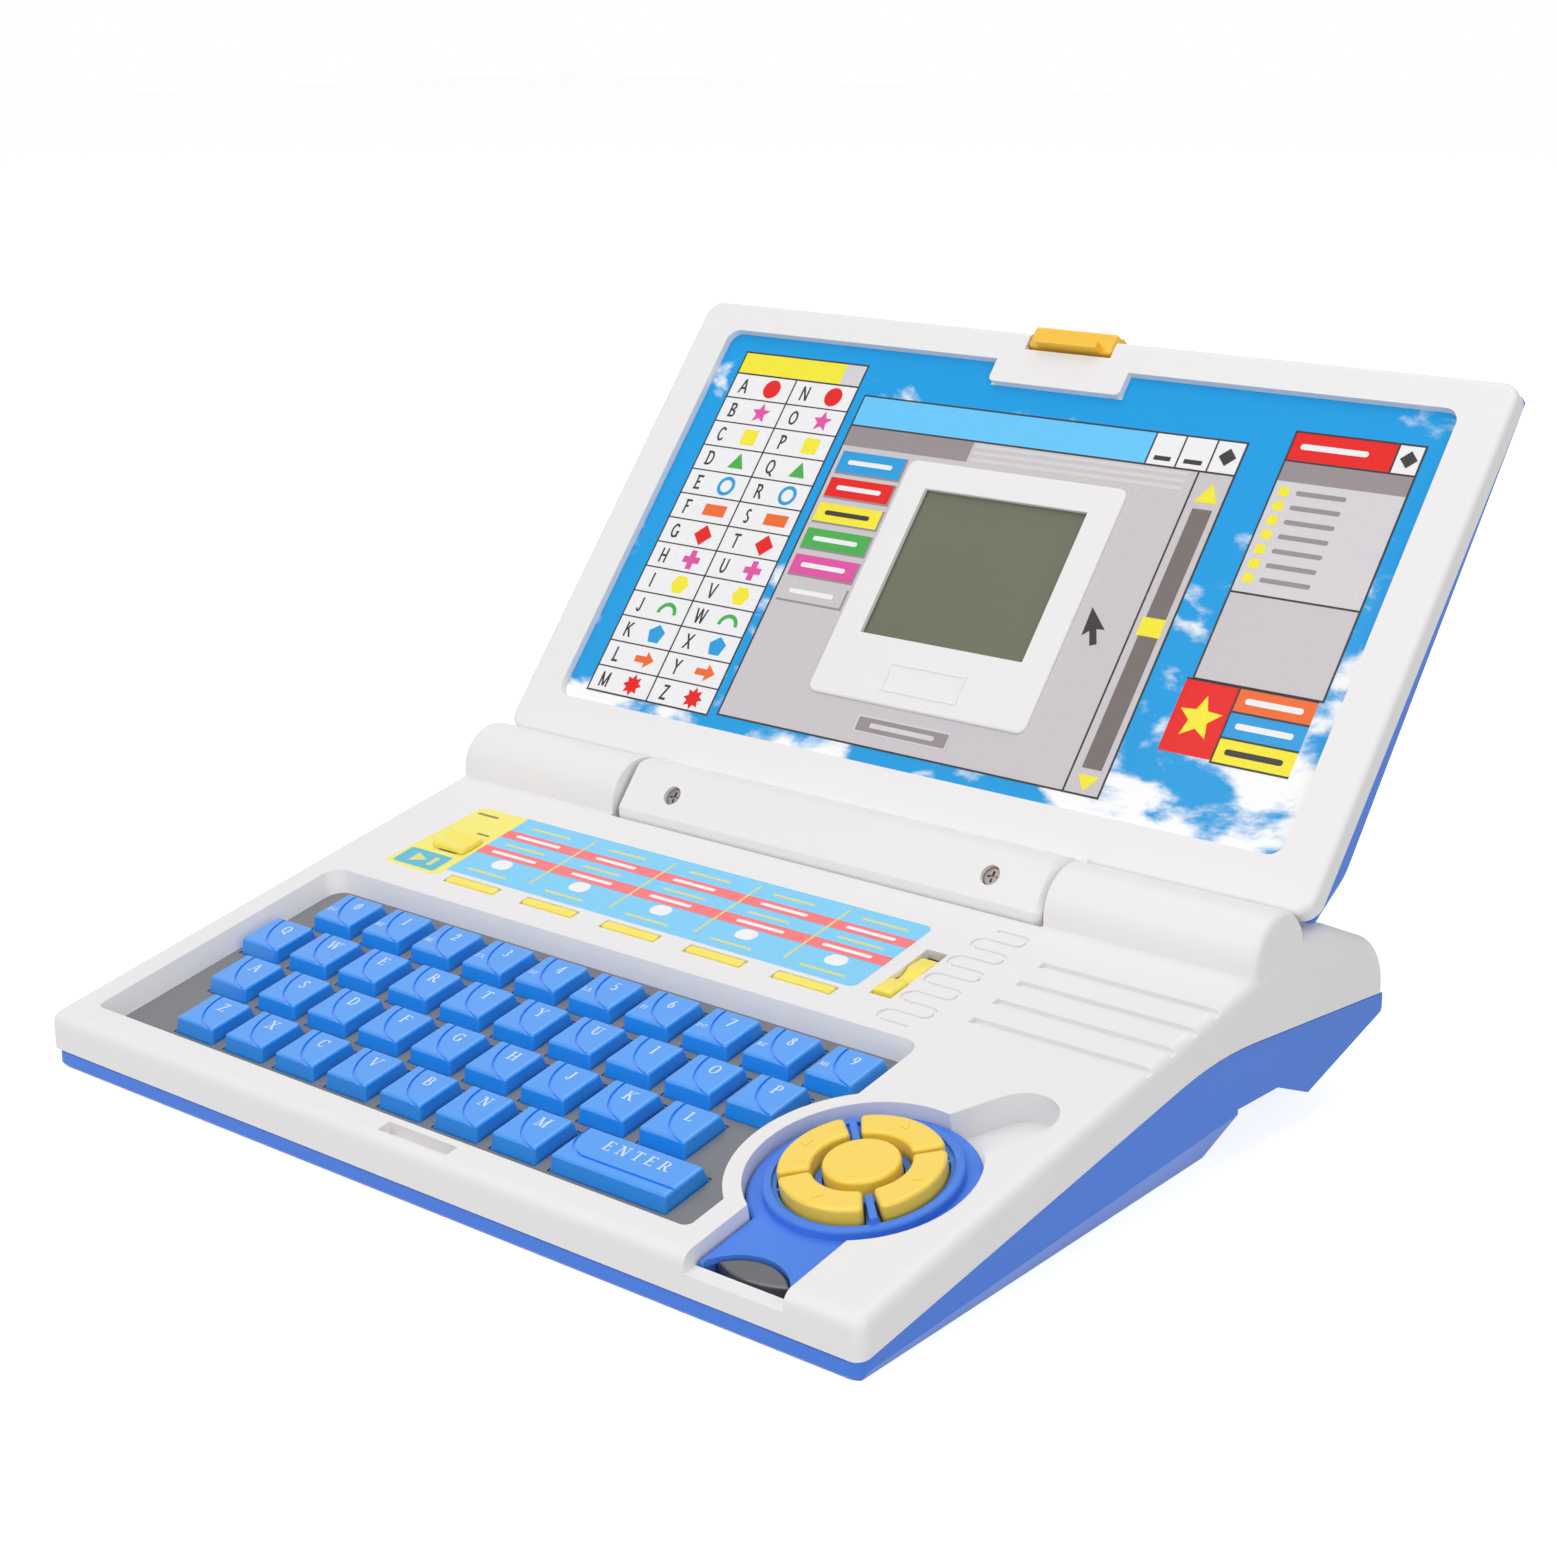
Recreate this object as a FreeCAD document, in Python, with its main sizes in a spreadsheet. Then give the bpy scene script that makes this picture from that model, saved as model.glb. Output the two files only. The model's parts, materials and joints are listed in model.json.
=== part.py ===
import FreeCAD, Part
import os
import re
import Sketcher

# A child's toy laptop: a wedge-shaped base with a keyboard, a row of activity buttons and a
# lift-out round controller, and a lid with a picture card and a small display that folds down.
# X runs to the right, Y to the back and Z up. The origin lies on the ground under the middle of the base.
# The deck frame is tilted with the deck: v runs back along the deck from the front edge and w stands
# up from it. The lid frame lies on the lid's front face: d runs into the lid and s up from its lower edge.

doc = FreeCAD.newDocument("toy_laptop")
sheet = doc.addObject("Spreadsheet::Sheet", "sizes")

SIZES = {
    # Base shells
    "base_width": 258,
    "base_depth": 200.5,
    "front_height": 14,
    "deck_angle": 12,
    "crest_reach": 173.2,
    "rear_height": 36.7,
    "seam_front": 5,
    "seam_high": 30.2,
    "seam_tail": 24.6,
    "seam_knee": 125.4,
    "seam_round": 110,
    "seam_gap": 0.6,
    "bottom_inset": 0.6,
    "wall": 2.2,
    "floor_wall": 2,
    "front_round": 3.4,
    "crest_round": 14,
    "rear_round": 16,
    "side_round": 3,
    "fit": 0.35,
    # Underside
    "foot_front": 1.2,
    "step_start": 148,
    "step_end": 152,
    "step_height": 6.3,
    "heel_start": 170,
    "heel_front": 184,
    "heel_back": 188,
    "heel_top": 20,
    "bottom_round": 4,
    "bevel_rise": 2,
    "bevel_angle": 4.6,
    "bevel_tilt": 34,
    "tub_side": 32,
    "under_start": 135.9,
    "under_high": 14.3,
    "under_notch": 153,
    "skirt_tip": 167,
    "skirt_tip_rise": 8.7,
    "skirt_tail_rise": 19.4,
    "post_radius": 4,
    "post_side": 17,
    "post_front_y": 94,
    "post_rear_x": 30,
    "post_rear_y": 138,
    "screw_radius": 1.3,
    "screw_head_radius": 3,
    "screw_head_height": 2,
    "screw_length": 16,
    "prop_radius": 3,
    "prop_left_side": 29,
    "prop_right_side": 79,
    "prop_front": 16,
    "prop_back": 78,
    # Hinge
    "hinge_reach": 155.2,
    "hinge_drop": 0.6,
    "hump_radius": 11.2,
    "hump_round": 2.4,
    "hump_inset": 0.6,
    "block_half": 69,
    "block_radius": 11.6,
    "block_bevel": 1.6,
    "block_gap": 1.3,
    "facet_reach": 9.6,
    "trough_gap": 0.6,
    "pin_radius": 3,
    "pin_reach": 7,
    # Lid
    "lid_width": 260,
    "lid_height": 142.8,
    "lid_lean": 38.5,
    "lid_rise": 11.7,
    "closed_gap": 0.5,
    "bezel_depth": 5,
    "lid_corner": 5,
    "bezel_round": 1.6,
    "card_side": 12.7,
    "card_low": 12.5,
    "card_high": 133.7,
    "card_drop": 2.2,
    "card_wall": 1.6,
    "card_corner": 4,
    "tab_width": 42.4,
    "tab_height": 6.9,
    "back_gap": 0.3,
    "back_low": 6.5,
    "back_high": 2.6,
    "back_heel": 1.6,
    "back_heel_height": 15,
    "back_inset": 0.7,
    "back_wall": 1.8,
    "back_round": 2.2,
    # Display
    "lcd_frame_width": 70.8,
    "lcd_frame_low": 29.5,
    "lcd_frame_high": 101,
    "lcd_frame_sink": 1.2,
    "lcd_frame_corner": 2.6,
    "lcd_width": 52.8,
    "lcd_low": 48.5,
    "lcd_high": 92.7,
    "lcd_lip": 1.2,
    "lcd_border": 4,
    "lcd_thick": 1.6,
    "badge_width": 25,
    "badge_low": 33.4,
    "badge_high": 42,
    "badge_line": 0.9,
    "badge_rise": 0.3,
    # Lid latch
    "latch_width": 27,
    "latch_low": 138.5,
    "latch_proud": 0.3,
    "latch_top": 2.1,
    "latch_round": 1.2,
    "latch_pivot": 2.1,
    "latch_pivot_rise": 141,
    "latch_pin_radius": 0.9,
    "latch_pin_reach": 2.4,
    "thumb_reach": 11.5,
    "thumb_thick": 2.2,
    "hook_width": 20,
    "hook_thick": 2,
    "hook_reach": 2.8,
    "latch_room": 1.1,
    "latch_slot_width": 22,
    "lid_screw_x": 51.9,
    "lid_screw_head": 2.3,
    "lid_screw_height": 1.4,
    "lid_screw_length": 7,
    "lid_screw_sink": 1.2,
    "lid_screw_cross": 0.6,
    "lid_screw_slot": 0.7,
    "latch_slot_depth": 3.6,
    # Keyboard
    "window_side": 9.4,
    "controller_side": 52,
    "window_front": 8,
    "window_back": 87.8,
    "window_corner": 5,
    "window_front_corner": 2,
    "window_draft": 0.37,
    "skirt_wall": 2,
    "plate_drop": 5.5,
    "plate_thick": 2,
    "key_columns": 10,
    "key_gap": 4.35,
    "key_row_slack": 13.1,
    "key_margin": 3.9,
    "row_shift": 8.2,
    "enter_reach": 20.3,
    "row_pitch": 17.5,
    "first_row_v": 22.1,
    "key_depth": 14.4,
    "key_cap": 3.8,
    "key_drop": 1.85,
    "key_side_slope": 0.25,
    "key_front_slope": 1.2,
    "key_back_slope": 0.8,
    "key_round": 0.8,
    "key_hole_gap": 0.4,
    "key_flange": 0.8,
    "key_flange_thick": 1.2,
    "key_wall": 1.4,
    "key_stem_radius": 2,
    "key_line": 0.7,
    "key_line_depth": 0.45,
    "key_travel": 2,
    "mat_thick": 1,
    "board_thick": 1.3,
    # Deck controls
    "activity_count": 5,
    "activity_left_side": 52.4,
    "activity_right_side": 94,
    "activity_v": 97,
    "activity_length": 17.8,
    "activity_depth": 3,
    "activity_proud": 0.4,
    "mode_side": 32,
    "mode_v": 111.8,
    "mode_travel": 3,
    "mode_knob_width": 11.6,
    "mode_knob_depth": 8,
    "mode_knob_height": 1.4,
    "mode_dish": 0.4,
    "mode_stem_width": 6,
    "mode_stem_depth": 1.6,
    "rocker_side": 73.9,
    "rocker_v": 110.2,
    "rocker_length": 18.8,
    "rocker_width": 5.5,
    "rocker_proud": 0.4,
    "rocker_tilt": 5,
    "rocker_round": 1,
    "rocker_slot_v": 111.3,
    "rocker_slot_length": 22.4,
    "rocker_depth": 4.6,
    "rocker_pivot": 2.7,
    "rocker_saddle": 5,
    "rocker_saddle_rise": 4,
    "rocker_pin": 1,
    "speaker_slots": 4,
    "slot_inner_side": 48.5,
    "slot_outer_side": 0.6,
    "speaker_first_v": 101.1,
    "speaker_pitch": 9.05,
    "speaker_slot": 2.2,
    "speaker_groove": 1.2,
    "speaker_side": 28,
    "speaker_v": 117,
    "speaker_radius": 17,
    "speaker_height": 8,
    "wave_inner_side": 67,
    "wave_outer_side": 59.5,
    "wave_first_v": 92,
    "wave_pitch": 4.5,
    "wave_bars": 11,
    "wave_line": 1,
    "wave_depth": 0.5,
    # Controller and its pocket
    "mouse_side": 33,
    "mouse_v": 42,
    "mouse_radius": 25,
    "mouse_drop": 3,
    "mouse_depth": 10,
    "mouse_wall": 1.5,
    "mouse_round": 1,
    "handle_width": 25.4,
    "handle_front": 3.2,
    "mouth_radius": 12.8,
    "mouth_reach": 44.4,
    "collar_radius": 21.4,
    "collar_inner": 19.4,
    "collar_height": 2.2,
    "collar_round": 0.75,
    "collar_sink": 0.8,
    "arrow_outer": 17.9,
    "arrow_inner": 10.7,
    "arrow_gap_angle": 4.25,
    "arrow_lean": 1.75,
    "arrow_rib": 1.6,
    "arrow_rib_top": 0.6,
    "arrow_proud": 2.1,
    "arrow_corner": 1.2,
    "arrow_round": 0.9,
    "ok_radius": 8.4,
    "ok_proud": 2.3,
    "mouse_button_gap": 0.4,
    "mouse_flange": 1,
    "mouse_flange_thick": 1.2,
    "mouse_parting": 7,
    "arrow_mark": 1.5,
    "arrow_mark_rise": 0.2,
    "arrow_mark_reach": 14.6,
    "lens_radius": 22,
    "lens_inset": 0.4,
    "lens_depth": 10,
    "lens_round": 0.6,
    "lens_sink": 0.7,
    "pocket_gap": 0.5,
    "pocket_clear": 0.3,
    "pocket_wall": 2,
    "pocket_floor": 1.4,
    "rim_radius": 29.5,
    "ledge_drop": 4,
    "notch_side": 15.7,
    "notch_v": 74,
    "notch_radius": 8.6,
    "notch_depth": 7.4,
    # Power
    "bay_side": 62,
    "bay_y": 122,
    "cell_length": 50.2,
    "cell_radius": 7.15,
    "cell_gap": 0.6,
    "bay_wall": 1.6,
    "bay_wall_height": 12,
    "contact_thick": 0.5,
}

# Places that follow from the sizes above.
RELATIONS = {
    "base_y": "-base_depth/2",
    "half_width": "base_width/2",
    "post_x": "half_width - post_side",
    "prop_left": "half_width - prop_left_side",
    "prop_right": "half_width - prop_right_side",
    "bay_x": "half_width - bay_side",
    "tub_half": "half_width - tub_side",
    "window_left": "half_width - window_side",
    "window_right": "half_width - controller_side",
    "key_pitch": "(window_left + window_right - key_row_slack)/key_columns",
    "key_width": "key_pitch - key_gap",
    "first_key_x": "window_left - key_width/2 - key_margin",
    "activity_first_x": "half_width - activity_left_side",
    "activity_pitch": "(base_width - activity_left_side - activity_right_side)/(activity_count - 1)",
    "mode_x": "half_width - mode_side",
    "rocker_x": "half_width - rocker_side",
    "speaker_left": "half_width - slot_inner_side",
    "speaker_right": "half_width - slot_outer_side",
    "speaker_x": "half_width - speaker_side",
    "wave_left": "half_width - wave_inner_side",
    "wave_right": "half_width - wave_outer_side",
    "mouse_x": "half_width - mouse_side",
    "notch_x": "half_width - notch_side",
    "card_width": "lid_width - 2*card_side",
    "crest_y": "crest_reach*cos(deck_angle)",
    "crest_z": "front_height + crest_reach*sin(deck_angle)",
    "hinge_y": "hinge_reach*cos(deck_angle) + hinge_drop*sin(deck_angle)",
    "hinge_z": "front_height + hinge_reach*sin(deck_angle) - hinge_drop*cos(deck_angle)",
    "hinge_offset": "closed_gap + hinge_drop",
    "lid_y": "base_y + hinge_y + lid_rise*sin(lid_lean) + hinge_offset*cos(lid_lean)",
    "lid_z": "hinge_z + lid_rise*cos(lid_lean) - hinge_offset*sin(lid_lean)",
    "trough_radius": "block_radius + trough_gap",
    "hump_inner": "block_half + block_gap",
    "hump_outer": "half_width - hump_inset",
    "plate_bottom": "plate_drop + plate_thick",
    "flange_top": "plate_bottom + fit",
    "key_base": "flange_top + key_flange_thick",
    "key_top": "key_width - 2*key_side_slope",
    "arc_x": "0.61*key_top",
    "arc_y": "0.39*key_top",
    "arc_radius": "0.9*key_top",
    "wide_bend": "key_depth/2",
    "mat_top": "key_base + key_travel + fit",
    "mat_bottom": "mat_top + mat_thick",
    "board_bottom": "mat_bottom + board_thick",
    "pocket_depth": "mouse_depth + pocket_clear",
    "cup_depth": "pocket_depth + pocket_floor",
    "cup_radius": "mouse_radius + pocket_gap + pocket_wall",
    "cup_half": "handle_width/2 + pocket_gap + pocket_wall",
    "mouse_plate": "mouse_drop + mouse_wall",
    "mouse_floor": "mouse_depth - mouse_wall",
    "handle_reach": "mouse_v - handle_front",
    "lid_screw_face": "-hinge_offset - facet_reach + lid_screw_sink",
    "latch_slot_v": "hinge_reach - lid_rise - latch_low - hook_thick/2 + fit",
    "notch_run": "sqrt((notch_x - mouse_x)^2 + (notch_v - mouse_v)^2)",
    "notch_turn": "atan((notch_x - mouse_x)/(notch_v - mouse_v))",
    "over_deck": "hump_radius",
    "cell_pitch": "2*cell_radius + cell_gap",
    "bay_half_x": "cell_length/2 + 2*contact_thick + cell_gap",
    "bay_half_y": "1.5*cell_pitch + cell_gap",
}

# Profiles are sketched this far from the sketch's axes, so that no coordinate is zero.
SKETCH_MARGIN = 40

NAMES = set(SIZES) | set(RELATIONS)


def formula(text):
    """A size formula with each size written as a cell of the sheet."""
    return re.sub(r"[a-z_][a-z_0-9]*", lambda m: "sizes." + m[0] if m[0] in NAMES else m[0], str(text))


def value(text):
    """The number that a size formula has now."""
    return float(sheet.evalExpression(formula(text)))


def fill_sheet():
    row = 0
    for name, number in SIZES.items():
        row += 1
        sheet.set(f"A{row}", name)
        sheet.set(f"B{row}", str(number))
        sheet.setAlias(f"B{row}", name)
    for name, text in RELATIONS.items():
        row += 1
        sheet.set(f"A{row}", name)
        sheet.set(f"B{row}", "=" + text)
        sheet.setAlias(f"B{row}", name)
    doc.recompute()


def place(obj, x="0", y="0", z="0", turn="rotationx(0)"):
    obj.setExpression("Placement", formula(f"placement(vector({x}; {y}; {z}); {turn})"))
    return obj


def on_base(obj):
    """Stand a piece in the base: y counts from the front edge."""
    return place(obj, y="base_y")


def on_deck(obj, x="0", v="0", spin="0"):
    """Lay a piece on the tilted deck at x and v, turned about the deck's normal."""
    y = f"base_y + ({v})*cos(deck_angle)"
    z = f"front_height + ({v})*sin(deck_angle)"
    return place(obj, x, y, z, f"rotationx(deck_angle) * rotationz({spin})")


def place_in_base(obj):
    """Tilt a deck piece that is used inside the base, where y counts from the front edge."""
    return place(obj, "0", "0", "front_height", "rotationx(deck_angle)")


def on_lid(obj):
    """Lay a piece on the open lid."""
    return place(obj, "0", "lid_y", "lid_z", "rotationx(-lid_lean)")


def brick(name, x, y, z):
    """A box between two bounds on each axis."""
    obj = doc.addObject("Part::Box", name)
    for size, (low, high) in zip(("Length", "Width", "Height"), (x, y, z)):
        obj.setExpression(size, formula(f"({high}) - ({low})"))
    return place(obj, x[0], y[0], z[0])


def middle(span, at="0"):
    """Bounds of a span about its middle."""
    return f"({at}) - ({span})/2", f"({at}) + ({span})/2"


def disc(name, radius, z, x="0", y="0", angle="360", turn="0"):
    """An upright cylinder, or a sector of one."""
    obj = doc.addObject("Part::Cylinder", name)
    obj.setExpression("Radius", formula(radius))
    obj.setExpression("Height", formula(f"({z[1]}) - ({z[0]})"))
    obj.setExpression("Angle", formula(angle))
    return place(obj, x, y, z[0], f"rotationz({turn})")


def rod(name, radius, x, y, z):
    """A cylinder along X between two bounds."""
    obj = doc.addObject("Part::Cylinder", name)
    obj.setExpression("Radius", formula(radius))
    obj.setExpression("Height", formula(f"({x[1]}) - ({x[0]})"))
    return place(obj, x[0], y, z, "rotationy(90)")


def bore(name, radius, x, y, z):
    """A cylinder along Y between two bounds."""
    obj = doc.addObject("Part::Cylinder", name)
    obj.setExpression("Radius", formula(radius))
    obj.setExpression("Height", formula(f"({y[1]}) - ({y[0]})"))
    return place(obj, x, y[0], z, "rotationx(-90)")


def fuse(name, shapes):
    if len(shapes) == 1:
        return shapes[0]
    obj = doc.addObject("Part::MultiFuse", name)
    obj.Shapes = shapes
    obj.Refine = True
    return obj


def cut(name, base, tools):
    obj = doc.addObject("Part::Cut", name)
    obj.Base = base
    obj.Tool = fuse(name + "_tools", tools)
    obj.Refine = True
    return obj


def common(name, first, second):
    obj = doc.addObject("Part::Common", name)
    obj.Base = first
    obj.Tool = second
    return obj


def rounded(name, base, radius, keep):
    """Round the edges of a piece whose lowest and highest corners pass the test."""
    doc.recompute()
    size = value(radius)
    picked = []
    for number, edge in enumerate(base.Shape.Edges, 1):
        if keep(edge.BoundBox):
            picked.append((number, size, size))
    obj = doc.addObject("Part::Fillet", name)
    obj.Base = base
    obj.Edges = picked
    return obj


def near(a, b):
    return abs(a - b) < 1e-4


def upright(b):
    """An edge along Z."""
    return near(b.XLength, 0) and near(b.YLength, 0)


def inward(b):
    """An edge along Y."""
    return near(b.XLength, 0) and near(b.ZLength, 0)


def profile_body(name, points, width):
    """A body with a side profile in Y and Z, as wide as given, about the middle plane."""
    body = doc.addObject("PartDesign::Body", name)
    sketch = body.newObject("Sketcher::SketchObject", name + "_profile")
    plane = next(f for f in body.Origin.OriginFeatures if f.Role == "YZ_Plane")
    sketch.AttachmentSupport = [(plane, "")]
    sketch.MapMode = "FlatFace"
    corners = [tuple(f"{SKETCH_MARGIN} + ({text})" for text in point) for point in points]
    spots = [FreeCAD.Vector(value(y), value(z), 0) for y, z in corners]
    count = len(spots)
    for i in range(count):
        sketch.addGeometry(Part.LineSegment(spots[i], spots[(i + 1) % count]))
    for i in range(count):
        sketch.addConstraint(Sketcher.Constraint("Coincident", i, 2, (i + 1) % count, 1))
    for i, (y, z) in enumerate(corners):
        for kind, text in (("DistanceX", y), ("DistanceY", z)):
            number = sketch.addConstraint(Sketcher.Constraint(kind, -1, 1, i, 1, value(text)))
            sketch.setExpression(f"Constraints[{number}]", formula(text))
    pad = body.newObject("PartDesign::Pad", name + "_pad")
    pad.Profile = sketch
    pad.SideType = "Symmetric"
    pad.setExpression("Length", formula(width))
    doc.recompute()
    return body


def round_profile(body, radius, spots):
    """Round the body's edges along X that lie at the given places of its profile."""
    tip = body.Tip
    targets = [(value(y) + SKETCH_MARGIN, value(z) + SKETCH_MARGIN) for y, z in spots]
    names = []
    for number, edge in enumerate(tip.Shape.Edges, 1):
        b = edge.BoundBox
        along_x = near(b.YLength, 0) and near(b.ZLength, 0)
        if along_x and any(near(b.YMin, y) and near(b.ZMin, z) for y, z in targets):
            names.append(f"Edge{number}")
    return body_fillet(body, radius, names)


def round_ends(body, radius, width, keep):
    """Round the outline of the body's two end faces where the test passes."""
    tip = body.Tip
    half = value(width) / 2
    names = []
    for number, edge in enumerate(tip.Shape.Edges, 1):
        b = edge.BoundBox
        if near(b.XLength, 0) and near(abs(b.XMin), half):
            spot = edge.valueAt((edge.FirstParameter + edge.LastParameter) / 2)
            if keep(spot.y - SKETCH_MARGIN, spot.z - SKETCH_MARGIN):
                names.append(f"Edge{number}")
    return body_fillet(body, radius, names)


def body_fillet(body, radius, names):
    tip = body.Tip
    fillet = body.newObject("PartDesign::Fillet", body.Name + "_round")
    fillet.Base = (tip, names)
    fillet.setExpression("Radius", formula(radius))
    doc.recompute()
    return fillet


def settle(body):
    """Take the sketch's margin off again."""
    return place(body, "0", f"-{SKETCH_MARGIN}", f"-{SKETCH_MARGIN}")


def label(obj, name):
    obj.Label = name
    PARTS.append(obj)


PARTS = []
fill_sheet()

# Seam between the two shells of the base, from the back to the front.
SEAM = [
    ("base_depth", "seam_tail"),
    ("seam_knee", "seam_high"),
    ("0", "seam_front"),
]


def seam_at(y):
    """Height of the seam at a distance from the front edge."""
    for (y1, z1), (y0, z0) in zip(SEAM, SEAM[1:]):
        low, high = value(y0), value(y1)
        if low <= y <= high:
            share = (y - low) / (high - low)
            return value(z0) + share * (value(z1) - value(z0))
    return value("seam_tail")


def sides(name, maker):
    """The same piece on the right and on the left."""
    return [maker(name + "_right", 1), maker(name + "_left", -1)]


def span_on(side, low, high):
    """Bounds along X on the right (1) or the left (-1)."""
    if side > 0:
        return low, high
    return f"-({high})", f"-({low})"


# Keys: rows from the front, with the key names and the number of row shifts.
KEY_ROWS = (
    ("zxcvbnm", 2),
    ("asdfghjkl", 1),
    ("qwertyuiop", 0),
    ("0123456789", 1),
)


def key_spots():
    """Name, x, v and width of each key."""
    spots = []
    for row, (letters, shift) in enumerate(KEY_ROWS):
        v = f"first_row_v + {row}*row_pitch"
        for column, letter in enumerate(letters):
            x = f"-first_key_x + {column}*key_pitch + {shift}*row_shift"
            spots.append((letter, x, v, "key_width"))
    last = len(KEY_ROWS[0][0]) - 1
    shift = KEY_ROWS[0][1]
    wide_x = f"-first_key_x + ({last} + 1)*key_pitch + {shift}*row_shift + enter_reach/2"
    spots.append(("enter", wide_x, "first_row_v", "key_width + enter_reach"))
    return spots


# White upper shell

def shell_outside():
    body = profile_body(
        "case_outside",
        [
            ("0", "seam_front"),
            ("0", "front_height"),
            ("crest_y", "crest_z"),
            ("base_depth", "rear_height"),
        ]
        + SEAM[:2],
        "base_width",
    )
    round_profile(body, "seam_round", [("seam_knee", "seam_high")])
    round_profile(body, "front_round", [("0", "front_height")])
    round_profile(body, "crest_round", [("crest_y", "crest_z")])
    round_profile(body, "rear_round", [("base_depth", "rear_height")])
    round_ends(body, "side_round", "base_width", lambda y, z: z > seam_at(y) + 0.5)
    return settle(body)


def shell_cavity():
    tail_slope = "(crest_z - rear_height)/(base_depth - crest_y)"
    body = profile_body(
        "case_cavity",
        [
            ("wall", "-wall"),
            ("wall", "front_height + wall*tan(deck_angle) - wall/cos(deck_angle)"),
            ("crest_y", "crest_z - 1.2*wall"),
            ("base_depth - rear_round", f"rear_height + rear_round*{tail_slope} - 1.2*wall"),
            ("base_depth - wall", "rear_height - rear_round"),
            ("base_depth - wall", "-wall"),
        ],
        "base_width - 2*wall",
    )
    return settle(body)


def hump(name, side):
    bar = rod(name + "_bar", "hump_radius", span_on(side, "hump_inner", "hump_outer"), "hinge_y", "hinge_z")
    outer = side * value("hump_outer")
    return rounded(name, bar, "hump_round", lambda b: near(b.XMin, outer) and near(b.XMax, outer))


def hump_hollow(name, side):
    span = span_on(side, "hump_inner + pin_reach/2", "hump_outer - wall")
    return rod(name, "hump_radius - wall", span, "hinge_y", "hinge_z")


def screw_post(name, x, y):
    return disc(name, "post_radius", ("seam_front", "crest_z"), x, y)


def post_spots():
    return [
        (side + x, y)
        for x, y in (("post_x", "post_front_y"), ("post_rear_x", "post_rear_y"))
        for side in ("", "-")
    ]


def notch_capsule(name, radius, low, high):
    """The finger notch beside the controller: a round end and a straight run to the pocket."""
    end = disc(name + "_end", radius, (low, high), "notch_x", "notch_v")
    way = brick(name + "_way", (f"-({radius})", radius), ("-notch_run", "0"), (low, high))
    way.setExpression("Placement", formula(
        f"placement(vector(notch_x; notch_v; {low}); rotationz(-notch_turn))"
        f" * placement(vector(-({radius}); -notch_run; 0); rotationz(0))"
    ))
    return [end, way]


def deck_keepers():
    """What stays solid under the deck: the skirt of the recess, the cups and the rocker's bearings."""
    top = "0"
    skirt = brick(
        "skirt",
        ("-window_left - skirt_wall", "window_right + skirt_wall"),
        ("window_front - skirt_wall", "window_back + skirt_wall"),
        ("-plate_drop", top),
    )
    cup = disc("cup", "cup_radius", ("-cup_depth", top), "mouse_x", "mouse_v")
    cup_handle = brick(
        "cup_handle", middle("2*cup_half", "mouse_x"), ("wall/2", "mouse_v"), ("-cup_depth", top)
    )
    notch = notch_capsule("notch_wall", "notch_radius + pocket_wall", "-notch_depth - pocket_floor", top)
    bearing = brick(
        "rocker_bearing",
        middle("rocker_width + 2*fit + 4*wall", "rocker_x"),
        middle("6*rocker_pin", "rocker_v"),
        ("-rocker_pivot - 2*rocker_pin - fit", top),
    )
    latch_cup = brick(
        "latch_cup", middle("latch_slot_width + 2*wall"), middle("latch_slot_depth + 2*wall", "latch_slot_v"),
        ("-hook_reach - fit - wall", top),
    )
    return place_in_base(fuse("deck_keepers", [skirt, cup, cup_handle, bearing, latch_cup] + notch))


def key_recess(high):
    """The recess of the keyboard, whose walls slope outwards except at the front."""
    low = "plate_drop + wall"
    recess = doc.addObject("Part::Wedge", "key_recess")
    bounds = {
        "Xmin": f"-window_left + ({low})*window_draft",
        "Xmax": f"window_right - ({low})*window_draft",
        "Ymin": f"-({low})",
        "Ymax": high,
        "Zmin": f"-window_back + ({low})*window_draft",
        "Zmax": "-window_front",
        "X2min": f"-window_left - {high}*window_draft",
        "X2max": f"window_right + {high}*window_draft",
        "Z2min": f"-window_back - {high}*window_draft",
        "Z2max": "-window_front",
    }
    for prop, text in bounds.items():
        recess.setExpression(prop, formula(text))
    place(recess, turn="rotationx(90)")
    tall = value(high)
    half = value("(window_front + window_back)/2")
    rear = rounded(
        "recess_rear", recess, "window_corner",
        lambda b: b.ZLength > tall and b.YMin > half and b.XLength < tall,
    )
    return rounded(
        "recess_front", rear, "window_front_corner",
        lambda b: b.ZLength > tall and b.YMax < half and b.XLength < tall,
    )


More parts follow.
